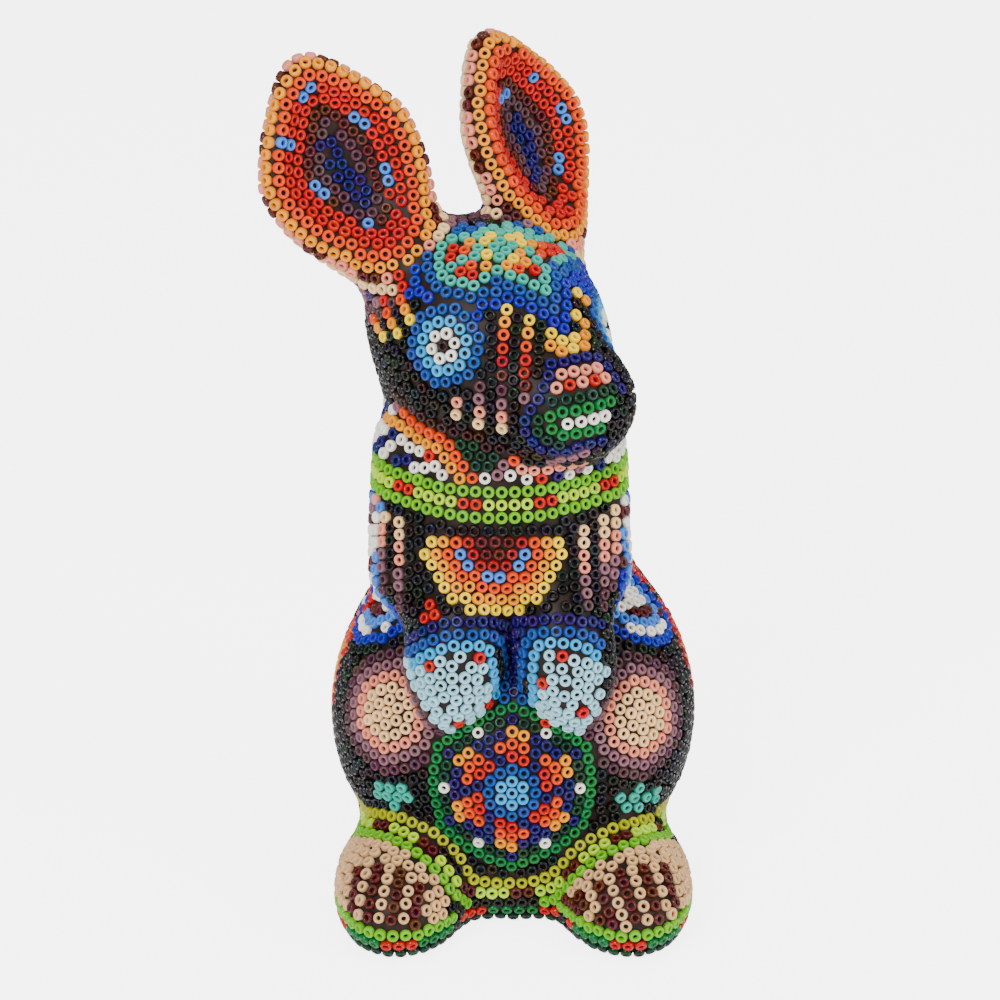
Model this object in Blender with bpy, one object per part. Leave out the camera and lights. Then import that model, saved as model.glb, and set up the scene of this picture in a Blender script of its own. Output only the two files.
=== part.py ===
"""Seated rabbit figure, folk craft: a carved wooden body with two glued-in ears, a skin of
beeswax pressed over the wood, and fields of glass seed beads pressed into the wax.

Frame: +Z up, millimetres inside this file and metres in Blender. The figure sits on the plane
Z = 0 and its chest faces -Y; its own left side is at +X. The head is turned to its left.
Every layer is cut from one shape function, at a chosen depth below the bead surface.
"""
import math

import bmesh
import bpy
import numpy as np

for old in list(bpy.data.objects):
    bpy.data.objects.remove(old, do_unlink=True)

MM = 0.001

# ---- driving dimensions (mm) -------------------------------------------------------------
BEAD_IN = 1.1        # depth of the underside of a bead field
WAX_OUT = 1.4        # depth of the outer face of the wax
WAX_IN = 2.0         # depth of the inner face of the wax
WOOD = 2.3           # depth of the carved wood
SEAM = 0.20          # half of the joint between two bead fields
PARTING = 0.7        # half of the step between body and head pieces, in the shape function
FOOT_Z = 0.5         # height where beads and wax begin
TENON_R = 2.2        # radius of an ear's tenon
TENON_TOP = 7.5      # where the tenon starts, up the ear's axis
TENON_LONG = 16.0    # its length, towards the middle of the head
SHIFT = (4.823, -2.504, 0.0)   # moves the figure so that its box is centred on the origin

HEAD_YAW = 38.0      # degrees, the head turned to the figure's left
HEAD_PITCH = 8.0
HEAD_C = (-5.3, 3.0, 97.8)
EARS = {
    "right": dict(base=(-15.8, 2.0, 105.5), tip=(-34.2, 3.0, 139.8), n=(0.31, -0.95, 0.05), hw=13.8, th=6.4, bend=-1.8),
    "left": dict(base=(5.4, 12.5, 104.5), tip=(-4.4, 15.5, 141.4), n=(0.78, -0.62, 0.05), hw=13.8, th=6.4, bend=3.6),
}
BODY_COLS = 32
BODY_Z = [FOOT_Z, 5.5, 11.0, 16.5, 22.0, 28.0, 34.5, 41.0, 47.5, 54.0, 60.0, 66.0]
HEAD_COLS = 24
HEAD_PHI = [0.0, 20.0, 38.0, 56.0, 72.0, 88.0, 104.0]
EAR_COLS = 14


# ---- the shape -----------------------------------------------------------------------------
def turn(yaw=0.0, pitch=0.0, roll=0.0):
    a, b, c = np.radians([yaw, pitch, roll])
    rz = np.array([[np.cos(a), -np.sin(a), 0], [np.sin(a), np.cos(a), 0], [0, 0, 1]])
    rx = np.array([[1, 0, 0], [0, np.cos(b), -np.sin(b)], [0, np.sin(b), np.cos(b)]])
    ry = np.array([[np.cos(c), 0, np.sin(c)], [0, 1, 0], [-np.sin(c), 0, np.cos(c)]])
    return rz @ rx @ ry


def egg(p, c, r, m=None):
    """Distance, roughly, to an ellipsoid."""
    q = p - np.asarray(c, float)
    if m is not None:
        q = q @ m
    r = np.asarray(r, float)
    k0 = np.sqrt(((q / r) ** 2).sum(-1))
    k1 = np.sqrt(((q / r ** 2) ** 2).sum(-1))
    return k0 * (k0 - 1) / np.maximum(k1, 1e-6)


def limb(p, a, b, ra, rb):
    """Distance to a tapered limb with round ends."""
    a = np.asarray(a, float)
    d = np.asarray(b, float) - a
    t = np.clip(((p - a) @ d) / (d @ d), 0, 1)
    q = p - (a + t[:, None] * d)
    return np.sqrt((q * q).sum(-1)) - (ra + (rb - ra) * t)


def join(a, b, k):
    """Union with a fillet about k wide."""
    h = np.maximum(k - np.abs(a - b), 0) / k
    return np.minimum(a, b) - h * h * k * 0.25


def carve(a, b, k):
    """The part of a that is outside -b, with an eased edge about k wide."""
    return -join(-a, -b, k)


HEAD_M = turn(HEAD_YAW, HEAD_PITCH)
HEAD_O = np.array(HEAD_C)


def on_head(x, y, z):
    return HEAD_O + HEAD_M @ np.array([x, y, z], float)


def head(p):
    d = join(egg(p, HEAD_O, (18.0, 20.6, 17.0), HEAD_M),
             egg(p, on_head(0.8, -7, -6.2), (15.5, 17, 9.8), HEAD_M), 8)
    return join(d, egg(p, on_head(2.0, -22.6, -6.2), (10.5, 9.2, 9.2), HEAD_M), 7)


def torso(p):
    c = join(egg(p, (-2.6, 3.0, 66), (20.2, 19.0, 27)), egg(p, (-2.5, -6.0, 64), (18.5, 13.5, 17)), 6)
    d = join(egg(p, (0.0, 8.5, 31), (27.0, 24, 33)), c, 10)
    return join(d, limb(p, (-2.0, 4.0, 78), (-2.8, 4.0, 94), 17.2, 16.5), 8)


def arms(p):
    out = None
    for s, shoulder, elbow, paw in ((-1, (-16.0, -2, 78), (-15.8, -8, 59), (-9.3, -16.5, 48.5)),
                                    (1, (11.5, -2, 78), (11.5, -9, 60), (8.2, -16.5, 48.5))):
        a = join(limb(p, shoulder, elbow, 7.0, 8.0), egg(p, paw, (8.4, 8.5, 14.0), turn(0, -12, s * -9)), 6)
        out = a if out is None else np.minimum(out, a)
    return out


def feet(p):
    out = None
    for s in (-1, 1):
        f = egg(p, (s * 17.7, -15.5, 6.2), (12.0, 19.5, 11.0), turn(s * 7))
        out = f if out is None else np.minimum(out, f)
    return join(out, egg(p, (0, 4, 6), (26, 26, 12)), 5)


def body(p):
    haunch = np.minimum(egg(p, (-15.5, 1, 29.5), (15, 20, 21)), egg(p, (15.5, 1, 29.5), (15, 20, 21)))
    d = join(torso(p), haunch, 8)
    d = join(d, egg(p, (0, -6, 23), (18, 18, 21)), 8)
    d = join(d, arms(p), 3)
    d = join(d, feet(p), 6)
    return join(d, egg(p, (0, 31.5, 16), (8, 7, 8)), 3)


def ear_frame(e):
    b = np.array(e["base"], float)
    v = np.array(e["tip"], float) - b
    length = float(np.linalg.norm(v))
    v /= length
    n = np.array(e["n"], float)
    n -= n @ v * v
    n /= np.linalg.norm(n)
    return b, length, np.stack([np.cross(v, n), v, n], 1)


def ear_local(q, e, length):
    """Distance to an ear, with q in the ear's own frame: across, along, and out of its face."""
    t = np.clip(q[:, 1] / length, 0, 1)
    q = q.copy()
    q[:, 0] -= e["bend"] * np.sin(np.pi * t)
    q[:, 0] *= 1 + 2.4 * np.clip(t - 0.62, 0, 1) ** 1.5
    d = egg(q, (0, 0.565 * length, 0), (e["hw"], 0.45 * length + 1.2, e["th"]))
    d = join(d, egg(q, (0, 4, -0.5), (7.4, 10, 6.6)), 7)
    hollow = egg(q, (0, 0.61 * length, 9.0), (12.6, 0.405 * length, 9.4))
    return carve(d, -hollow, 2.0)


def reach(origins, rays, depth, shape, far, near=0.0, steps=60):
    """Farthest crossing of each ray with the surface that lies `depth` below the bead surface."""
    origins = np.asarray(origins, float)
    rays = np.asarray(rays, float)
    ts = np.linspace(far, near, steps)
    inner = np.full(len(origins), near)
    outer = np.full(len(origins), far)
    found = np.zeros(len(origins), bool)
    for t0, t1 in zip(ts[:-1], ts[1:]):
        inside = shape(origins + rays * t1) <= -depth
        new = inside & ~found
        inner[new], outer[new] = t1, t0
        found |= inside
    for _ in range(30):
        mid = (inner + outer) / 2
        inside = shape(origins + rays * mid[:, None]) <= -depth
        inner = np.where(inside, mid, inner)
        outer = np.where(inside, outer, mid)
    return inner


# ---- grids of surface points, one per depth, on shared rays ----------------------------------
def body_axis(z):
    k = np.clip((np.asarray(z, float) - 35) / 35, 0, 1)
    return np.stack([-2.6 * k, np.full(np.shape(z), 2.0), z], -1)


def body_ray(j):
    a = 2 * math.pi * j / BODY_COLS
    return np.array([math.sin(a), -math.cos(a), 0.0])


def body_point(j, z, depth):
    zs = np.atleast_1d(np.asarray(z, float))
    o = body_axis(zs)
    d = np.broadcast_to(body_ray(j), o.shape)
    return o + d * reach(o, d, depth, body, 45.0)[:, None]


def throat(j):
    """Height where the neck's surface runs under the head."""
    zs = np.linspace(72, 96, 97)
    p = body_point(j, zs, 0.0)
    gap = head(p) - body(p)
    low = np.nonzero(gap < PARTING)[0]
    return zs[low[0] - 1] if len(low) else zs[-1]


THROAT = [throat(j) for j in range(BODY_COLS)]


def body_heights(j):
    a = 2 * math.pi * j / BODY_COLS
    low = 71.0 + 1.9 * (1 - math.cos(a))
    high = min(low + 6.0, THROAT[j] - 1.6)
    return np.array(BODY_Z + [low, high, THROAT[j]])


BODY_O = np.stack([body_axis(body_heights(j)) for j in range(BODY_COLS)], 1)
BODY_D = np.broadcast_to(np.array([body_ray(j) for j in range(BODY_COLS)]), BODY_O.shape)


def body_grid(depth):
    o, d = BODY_O.reshape(-1, 3), BODY_D.reshape(-1, 3)
    return (o + d * reach(o, d, depth, body, 45.0)[:, None]).reshape(BODY_O.shape)


def head_ray(j, phi):
    b = 2 * math.pi * j / HEAD_COLS
    phi = np.radians(np.atleast_1d(phi))
    local = np.stack([np.sin(phi) * math.sin(b), -np.sin(phi) * math.cos(b), np.cos(phi)], -1)
    return local @ HEAD_M.T


def head_point(j, phi, depth):
    d = head_ray(j, phi)
    o = np.broadcast_to(HEAD_O, d.shape)
    return o + d * reach(o, d, depth, head, 42.0)[:, None]


def jaw(j):
    """Polar angle where the head's surface meets the neck."""
    phi = np.linspace(66, 176, 221)
    p = head_point(j, phi, 0.0)
    gap = head(p) - body(p)
    low = np.nonzero(gap > -PARTING)[0]
    return phi[max(low[0] - 1, 0)] if len(low) else phi[-1]


JAW = [jaw(j) for j in range(HEAD_COLS)]


def head_angles(j):
    squeeze = min(1.0, (JAW[j] - 10.0 - 56.0) / 48.0)
    rows = [p if p <= 56 else 56 + (p - 56) * squeeze for p in HEAD_PHI]
    return np.array(rows + [(rows[-1] + JAW[j]) / 2, JAW[j]])


HEAD_D = np.stack([head_ray(j, head_angles(j)) for j in range(HEAD_COLS)], 1)


def head_grid(depth):
    d = HEAD_D.reshape(-1, 3)
    o = np.broadcast_to(HEAD_O, d.shape)
    return (o + d * reach(o, d, depth, head, 42.0)[:, None]).reshape(HEAD_D.shape)


EAR_RINGS = [(0, 90), (0.55, 90), (1, 80), (1, 44), (1, 5), (1, -32), (1, -72), (0.55, -90), (0, -90)]


def ear_grids(e, depths):
    """Rings of an ear at each depth, from the middle of its hollow face over the rim to the
    middle of its back, on rays that leave a leaf-shaped sheet halfway through its thickness."""
    base, length, m = ear_frame(e)

    def shape(q):
        return ear_local(q, e, length)

    seats, rays = [], []
    for rho, tilt in EAR_RINGS:
        for j in range(EAR_COLS):
            a = 2 * math.pi * (j + 0.5) / EAR_COLS
            up = math.sin(a)
            v = (0.56 + rho * (0.29 if up > 0 else 0.52) * up) * length
            u = e["bend"] * math.sin(math.pi * min(max(v / length, 0), 1))
            u += rho * math.cos(a) * 0.5 * e["hw"] * (1 if up > 0 else 1 - 0.35 * up * up)
            seats.append((u, v, -2.5))
            k = math.radians(tilt)
            rays.append((math.cos(a) * math.cos(k), math.sin(a) * math.cos(k), math.sin(k)))
    seats, rays = np.array(seats), np.array(rays)
    up = np.broadcast_to(np.array([0, 0, 1.0]), seats.shape)
    seats[:, 2] += (reach(seats, up, 0.0, shape, 9.0) - reach(seats, -up, 0.0, shape, 9.0)) / 2
    out = {}
    for depth in depths:
        q = seats + rays * reach(seats, rays, depth, shape, 24.0)[:, None]
        out[depth] = (base + q @ m.T).reshape(len(EAR_RINGS), EAR_COLS, 3)
    return out


# ---- solids ------------------------------------------------------------------------------------
def to_object(name, verts, faces, colour=(0.5, 0.5, 0.5), rough=0.4, metallic=0.0, cutter=False):
    mesh = bpy.data.meshes.new(name)
    shifted = (np.asarray(verts, float) + np.array(SHIFT)) * MM
    mesh.from_pydata([tuple(v) for v in shifted], [], [tuple(f) for f in faces])
    bm = bmesh.new()
    bm.from_mesh(mesh)
    bmesh.ops.recalc_face_normals(bm, faces=bm.faces)
    if bm.calc_volume(signed=True) < 0:
        bmesh.ops.reverse_faces(bm, faces=bm.faces)
    bm.to_mesh(mesh)
    bm.free()
    obj = bpy.data.objects.new(name, mesh)
    bpy.context.scene.collection.objects.link(obj)
    if cutter:
        obj.hide_render = True
        obj.display_type = "WIRE"
    else:
        mat = bpy.data.materials.new(name)
        mat.use_nodes = True
        shader = mat.node_tree.nodes["Principled BSDF"]
        shader.inputs["Base Color"].default_value = (*colour, 1.0)
        shader.inputs["Roughness"].default_value = rough
        shader.inputs["Metallic"].default_value = metallic
        mesh.materials.append(mat)
        mesh.shade_smooth()
        mesh.set_sharp_from_angle(angle=math.radians(35))
    return obj


def field(outer, inner, cells, pole=None):
    """A closed tile between two grids over the given cells, set back from its neighbours.
    `pole` holds the grid rows whose points all coincide."""
    rows, cols = outer.shape[:2]
    cells = {(i, j % cols) for i, j in cells}
    poles = pole or ()
    index, verts, faces = {}, [], []

    def corner(i, j, layer):
        j %= cols
        key = (i, 0 if i in poles else j, layer)
        if key in index:
            return index[key]
        grid = outer if layer == 0 else inner
        p = grid[i, j].copy()
        if i not in poles:
            a = (i - 1, (j - 1) % cols) in cells
            b = (i - 1, j) in cells
            c = (i, (j - 1) % cols) in cells
            d = (i, j) in cells
            if not (a and b and c and d):
                right, left, up, down = (b + d), (a + c), (a + b), (c + d)
                if right != left:
                    step = grid[i, (j + (1 if right > left else -1)) % cols] - p
                    p += step * min(SEAM / max(np.linalg.norm(step), 1e-6), 0.3)
                if up != down:
                    k = i + (1 if down > up else -1)
                    step = grid[k, j] - grid[i, j]
                    p += step * min(SEAM / max(np.linalg.norm(step), 1e-6), 0.3)
        index[key] = len(verts)
        verts.append(p)
        return index[key]

    def tri(*f):
        if len(set(f)) == 3:
            faces.append(f)

    for i, j in sorted(cells):
        for layer in (0, 1):
            a, b = corner(i, j, layer), corner(i, j + 1, layer)
            c, d = corner(i + 1, j + 1, layer), corner(i + 1, j, layer)
            if layer == 0:
                tri(a, b, c)
                tri(a, c, d)
            else:
                tri(a, c, b)
                tri(a, d, c)
        for other, p, q in (((i - 1, j), (i, j), (i, j + 1)), ((i + 1, j), (i + 1, j + 1), (i + 1, j)),
                            ((i, (j - 1) % cols), (i + 1, j), (i, j)), ((i, (j + 1) % cols), (i, j + 1), (i + 1, j + 1))):
            if other in cells:
                continue
            if p[0] in poles and q[0] in poles:
                continue
            p0, q0, p1, q1 = corner(*p, 0), corner(*q, 0), corner(*p, 1), corner(*q, 1)
            tri(p0, p1, q1)
            tri(p0, q1, q0)
    return verts, faces


def lathe(rings, first, last):
    """A closed solid from rings of points, closed to a point at each end."""
    rings = np.asarray(rings)
    rows, cols = rings.shape[:2]
    verts = [tuple(v) for ring in rings for v in ring] + [tuple(first), tuple(last)]
    top, bottom = rows * cols, rows * cols + 1
    faces = []
    for i in range(rows - 1):
        for j in range(cols):
            k = (j + 1) % cols
            a, b, c, d = i * cols + j, i * cols + k, (i + 1) * cols + k, (i + 1) * cols + j
            faces += [(a, b, c), (a, c, d)]
    for j in range(cols):
        k = (j + 1) % cols
        faces.append((top, k, j))
        faces.append((bottom, (rows - 1) * cols + j, (rows - 1) * cols + k))
    return verts, faces


def rod(a, b, radius, sides=16):
    a, b = np.asarray(a, float), np.asarray(b, float)
    d = (b - a) / np.linalg.norm(b - a)
    x = np.cross(d, [0, 1, 0])
    x /= np.linalg.norm(x)
    y = np.cross(d, x)
    ring = [radius * (math.cos(t) * x + math.sin(t) * y) for t in np.arange(sides) * 2 * math.pi / sides]
    return lathe([[a + r for r in ring], [b + r for r in ring]], a, b)


def boolean(obj, tool, operation):
    mod = obj.modifiers.new(operation.lower() + "_" + tool.name, "BOOLEAN")
    mod.operation = operation
    mod.solver = "EXACT"
    mod.object = tool


def keep_largest(obj):
    """Applies an object's cuts and drops any crumb that they leave beside the main piece."""
    done = obj.evaluated_get(bpy.context.evaluated_depsgraph_get())
    mesh = bpy.data.meshes.new_from_object(done)
    obj.modifiers.clear()
    bm = bmesh.new()
    bm.from_mesh(mesh)
    left, islands = set(bm.verts), []
    while left:
        stack, island = [left.pop()], []
        while stack:
            v = stack.pop()
            island.append(v)
            for edge in v.link_edges:
                w = edge.other_vert(v)
                if w in left:
                    left.remove(w)
                    stack.append(w)
        islands.append(island)
    islands.sort(key=len)
    for island in islands[:-1]:
        bmesh.ops.delete(bm, geom=island, context="VERTS")
    bm.to_mesh(mesh)
    bm.free()
    obj.data = mesh


def block(rows, cols):
    return {(i, j) for i in rows for j in cols}


# depth-by-depth grids
B = {d: body_grid(d) for d in (0.0, BEAD_IN, WAX_OUT, WAX_IN, WOOD)}
H = {d: head_grid(d) for d in (0.0, BEAD_IN, WAX_OUT, WAX_IN, WOOD)}
E = {k: ear_grids(e, (0.0, BEAD_IN, WAX_OUT, WAX_IN, WOOD)) for k, e in EARS.items()}

body_rows = len(BODY_Z) + 2
head_rows = len(HEAD_PHI) + 1
ALL = range(BODY_COLS)
FRONT = lambda lo, hi: [j for j in range(-16, 16) if lo <= (j + 0.5) * 11.25 <= hi]


def ball(depth):
    """The whole head as a closed solid at one depth."""
    rings = []
    for j in range(HEAD_COLS):
        tail = np.linspace(JAW[j], 180.0, 5)[1:-1]
        rings.append(np.concatenate([head_point(j, head_angles(j)[1:], depth), head_point(j, tail, depth)]))
    rings = np.stack(rings, 1)
    return lathe(rings, head_point(0, [0.0], depth)[0], head_point(0, [180.0], depth)[0])


# wood: body with the head carved in one block, a socket for each ear
neck = [np.array([body_point(j, z, WOOD)[0] for j in ALL]) for z in (90.0,)]
foot = np.array([body_point(j, 0.0, WOOD)[0] for j in ALL])
rings = np.concatenate([foot[None], B[WOOD], np.array(neck)])
wood = to_object("wood_body", *lathe(rings, body_axis(0.0), body_axis(90.0)), colour=(0.55, 0.36, 0.20), rough=0.7)
cranium = to_object("tool_cranium", *ball(WOOD), cutter=True)
boolean(wood, cranium, "UNION")

skull_wide = to_object("tool_skull_wide", *ball(-0.3), cutter=True)
skull_wood = to_object("tool_skull_wood", *ball(WAX_IN), cutter=True)

ear_core_tools = []
for side, e in EARS.items():
    base, length, m = ear_frame(e)

    top = base + m @ np.array([0.0, TENON_TOP, -0.5])
    inward = (HEAD_O - top) / np.linalg.norm(HEAD_O - top)
    socket = to_object("tool_socket_" + side, *rod(top - inward * 4, top + inward * (TENON_LONG + 0.3), TENON_R + 0.3), cutter=True)
    boolean(wood, socket, "DIFFERENCE")
    core = to_object("wood_ear_" + side, *lathe(E[side][WOOD][1:-1], E[side][WOOD][0, 0], E[side][WOOD][-1, 0]),
                     colour=(0.58, 0.39, 0.22), rough=0.7)
    boolean(core, skull_wood, "DIFFERENCE")
    tenon = to_object("tool_tenon_" + side, *rod(top, top + inward * TENON_LONG, TENON_R), cutter=True)
    boolean(core, tenon, "UNION")
    hole = to_object("tool_ear_hole_" + side, *lathe(E[side][WAX_IN][1:-1], E[side][WAX_IN][0, 0], E[side][WAX_IN][-1, 0]), cutter=True)
    ear_core_tools += [hole, socket]

# wax: a skin over the body, one over the head, one over each ear
WAX = (0.20, 0.12, 0.06)
to_object("wax_body", *field(B[WAX_OUT], B[WAX_IN], block(range(body_rows), ALL)), colour=WAX, rough=0.5)
wax_head = to_object("wax_head", *field(H[WAX_OUT], H[WAX_IN], block(range(head_rows), range(HEAD_COLS)), pole=(0,)), colour=WAX, rough=0.5)
for tool in ear_core_tools:
    boolean(wax_head, tool, "DIFFERENCE")


for side in EARS:
    g = E[side]
    outer = to_object("wax_ear_" + side, *lathe(g[WAX_OUT][1:-1], g[WAX_OUT][0, 0], g[WAX_OUT][-1, 0]), colour=WAX, rough=0.5)
    inner = to_object("tool_ear_wax_" + side, *lathe(g[WAX_IN][1:-1], g[WAX_IN][0, 0], g[WAX_IN][-1, 0]), cutter=True)
    boolean(outer, inner, "DIFFERENCE")
    boolean(outer, skull_wide, "DIFFERENCE")
    boolean(outer, bpy.data.objects["tool_socket_" + side], "DIFFERENCE")

# bead fields of the ears: the hollow face and the back with the rim
last = E["left"][0.0].shape[0] - 1
for side, c1, c2 in (("right", (0.75, 0.16, 0.05), (0.80, 0.55, 0.42)), ("left", (0.72, 0.14, 0.05), (0.78, 0.52, 0.42))):
    g = E[side]
    face = to_object("beads_ear_inner_" + side, *field(g[0.0], g[BEAD_IN], block(range(0, 3), range(EAR_COLS)), pole=(0,)), colour=c1, rough=0.15)
    back = to_object("beads_ear_outer_" + side, *field(g[0.0], g[BEAD_IN], block(range(3, last), range(EAR_COLS)), pole=(last,)), colour=c2, rough=0.15)
    boolean(face, skull_wide, "DIFFERENCE")
    boolean(back, skull_wide, "DIFFERENCE")

# bead fields of the body: (rows, columns) of the body grid
R = range
body_fields = {
    "beads_base_border": (block(R(0, 1), ALL), (0.10, 0.35, 0.08)),
    "beads_foot_right": (block(R(1, 4), FRONT(-80, -11)), (0.75, 0.62, 0.42)),
    "beads_foot_left": (block(R(1, 4), FRONT(11, 80)), (0.75, 0.62, 0.42)),
    "beads_foot_border": (block(R(1, 3), FRONT(-11, 11)) | block(R(3, 4), FRONT(-11, 11)) | block(R(4, 5), FRONT(-102, 102)), (0.45, 0.60, 0.08)),
    "beads_belly_medallion": (block(R(5, 6), FRONT(-34, 34)), (0.03, 0.22, 0.10)),
    "beads_paw_right": (block(R(6, 10), FRONT(-45, 0)), (0.50, 0.75, 0.85)),
    "beads_paw_left": (block(R(6, 10), FRONT(0, 45)), (0.50, 0.75, 0.85)),
    "beads_haunch_right": (block(R(5, 9), FRONT(-102, -45)) | block(R(5, 6), FRONT(-45, -34)), (0.35, 0.16, 0.22)),
    "beads_haunch_left": (block(R(5, 9), FRONT(45, 102)) | block(R(5, 6), FRONT(34, 45)), (0.35, 0.16, 0.22)),
    "beads_chest": (block(R(10, 12), FRONT(-45, 45)), (0.80, 0.35, 0.04)),
    "beads_arm_right": (block(R(9, 12), FRONT(-90, -45)), (0.55, 0.40, 0.40)),
    "beads_arm_left": (block(R(9, 12), FRONT(45, 90)), (0.55, 0.40, 0.40)),
    "beads_side_right": (block(R(9, 12), FRONT(-135, -90)), (0.05, 0.12, 0.55)),
    "beads_side_left": (block(R(9, 12), FRONT(90, 135)), (0.05, 0.12, 0.55)),
    "beads_flank_right": (block(R(1, 4), FRONT(-158, -80)) | block(R(4, 5), FRONT(-158, -102)) | block(R(5, 9), FRONT(-135, -102)), (0.70, 0.25, 0.05)),
    "beads_flank_left": (block(R(1, 4), FRONT(80, 158)) | block(R(4, 5), FRONT(102, 158)) | block(R(5, 9), FRONT(102, 135)), (0.70, 0.25, 0.05)),
    "beads_tail": (block(R(1, 4), FRONT(158, 180) + FRONT(-180, -158)), (0.80, 0.70, 0.55)),
    "beads_back_lower": (block(R(4, 5), FRONT(158, 180) + FRONT(-180, -158)) | block(R(5, 9), FRONT(135, 180) + FRONT(-180, -135)), (0.10, 0.25, 0.60)),
    "beads_back_upper": (block(R(9, 12), FRONT(135, 180) + FRONT(-180, -135)), (0.60, 0.10, 0.05)),
    "beads_collar": (block(R(12, 13), ALL), (0.25, 0.60, 0.10)),
    "beads_neck_band": (block(R(13, 14), ALL), (0.75, 0.68, 0.62)),
}
for name, (cells, colour) in body_fields.items():
    to_object(name, *field(B[0.0], B[BEAD_IN], cells), colour=colour, rough=0.15)

# bead fields of the head, columns counted from the way the head faces
SIDE = lambda lo, hi: [j for j in range(-12, 12) if lo <= (j + 0.5) * 15 <= hi]
head_fields = {
    "beads_crown": (block(R(0, 2), range(HEAD_COLS)) | block(R(2, 3), SIDE(-45, 45)) | block(R(2, 3), SIDE(90, 135)), (0.05, 0.15, 0.60)),
    "beads_nose_bridge": (block(R(3, 5), SIDE(-30, 30)), (0.60, 0.12, 0.05)),
    "beads_muzzle": (block(R(5, head_rows), SIDE(-30, 30)), (0.05, 0.30, 0.12)),
    "beads_eye_right": (block(R(4, 6), SIDE(-75, -45)), (0.35, 0.65, 0.85)),
    "beads_eye_left": (block(R(4, 6), SIDE(45, 75)), (0.35, 0.65, 0.85)),
    "beads_cheek_right": (block(R(2, 3), SIDE(-120, -45)) | block(R(3, 4), SIDE(-120, -30)) | block(R(4, 6), SIDE(-120, -75) + SIDE(-45, -30)) | block(R(6, head_rows), SIDE(-120, -30)), (0.03, 0.02, 0.03)),
    "beads_cheek_left": (block(R(2, 3), SIDE(45, 90)) | block(R(3, 4), SIDE(30, 90)) | block(R(4, 6), SIDE(75, 90) + SIDE(30, 45)) | block(R(6, head_rows), SIDE(30, 90)), (0.03, 0.02, 0.03)),
    "beads_nape": (block(R(2, 3), SIDE(135, 180)) | block(R(3, 6), SIDE(105, 180)) | block(R(6, head_rows), SIDE(90, 180)) | block(R(2, head_rows), SIDE(-180, -120)), (0.06, 0.10, 0.35)),
}
HEAD_CUTS = {
    "beads_crown": ("ear_hole_left", "socket_left", "ear_hole_right", "socket_right"),
    "beads_nape": ("ear_hole_left", "socket_left", "ear_hole_right", "socket_right"),
    "beads_cheek_right": ("ear_hole_right", "socket_right"),
    "beads_cheek_left": ("ear_hole_left",),
}
for name, (cells, colour) in head_fields.items():
    obj = to_object(name, *field(H[0.0], H[BEAD_IN], cells, pole=(0,) if name == "beads_crown" else None), colour=colour, rough=0.15)
    for tool in HEAD_CUTS.get(name, ()):
        boolean(obj, bpy.data.objects["tool_" + tool], "DIFFERENCE")
    if name in HEAD_CUTS:
        keep_largest(obj)
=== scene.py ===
import heapq
import math

import numpy as np
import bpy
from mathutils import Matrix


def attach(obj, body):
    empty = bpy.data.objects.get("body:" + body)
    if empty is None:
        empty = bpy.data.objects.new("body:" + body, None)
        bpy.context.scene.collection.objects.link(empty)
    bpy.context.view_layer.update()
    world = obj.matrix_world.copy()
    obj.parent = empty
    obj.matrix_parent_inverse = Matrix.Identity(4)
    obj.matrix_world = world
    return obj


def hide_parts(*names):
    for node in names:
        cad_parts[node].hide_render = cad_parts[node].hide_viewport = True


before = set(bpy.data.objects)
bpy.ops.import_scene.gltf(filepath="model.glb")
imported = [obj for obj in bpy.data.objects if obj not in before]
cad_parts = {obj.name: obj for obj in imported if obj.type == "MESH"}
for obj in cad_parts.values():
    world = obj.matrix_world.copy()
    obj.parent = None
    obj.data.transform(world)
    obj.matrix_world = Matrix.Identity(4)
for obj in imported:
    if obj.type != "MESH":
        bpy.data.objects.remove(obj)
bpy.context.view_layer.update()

# Seated beaded rabbit, millimetres in the code and metres in the scene. The figure's chest faces
# -Y. One shape function gives the skin; beads are laid on it in rows, then the rest is filled.
MM = 0.001
SHIFT = np.array([4.823, -2.504, 0.0])
PITCH = 2.06          # distance between neighbouring beads
LEVEL = 0.72          # depth of the middle of a bead
WAX = 0.92            # depth of the wax between the beads
WOOD = 2.3
FLOOR_Z = 1.15        # lowest bead centre

# bead colours, linear
COLOURS = {
    "y": (0.86, 0.58, 0.000), "g": (0.74, 0.255, 0.000), "o": (0.62, 0.046, 0.000), "r": (0.44, 0.005, 0.001), "c": (0.26, 0.005, 0.008),
    "M": (0.075, 0.007, 0.005), "n": (0.075, 0.011, 0.007), "N": (0.026, 0.008, 0.005), "m": (0.19, 0.085, 0.105), "d": (0.070, 0.026, 0.036),
    "p": (0.70, 0.23, 0.15), "k": (0.80, 0.52, 0.25), "w": (0.80, 0.76, 0.68), "v": (0.010, 0.005, 0.085), "b": (0.006, 0.012, 0.300),
    "e": (0.008, 0.052, 0.240), "f": (0.050, 0.180, 0.560), "s": (0.030, 0.290, 0.560), "a": (0.31, 0.56, 0.64), "t": (0.030, 0.360, 0.270),
    "G": (0.125, 0.400, 0.004), "l": (0.400, 0.620, 0.012), "O": (0.340, 0.350, 0.000), "E": (0.002, 0.130, 0.026), "D": (0.003, 0.028, 0.014),
    "K": (0.005, 0.004, 0.005), "B": (0.62, 0.37, 0.17), "V": (0.034, 0.014, 0.085),
}

HEAD_C = np.array([-5.3, 3.0, 97.8])
EARS = {
    "right": dict(base=(-15.8, 2.0, 105.5), tip=(-34.2, 3.0, 139.8), n=(0.31, -0.95, 0.05), hw=13.8, th=6.4, bend=-1.8),
    "left": dict(base=(5.4, 12.5, 104.5), tip=(-4.4, 15.5, 141.4), n=(0.78, -0.62, 0.05), hw=13.8, th=6.4, bend=3.6),
}


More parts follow.
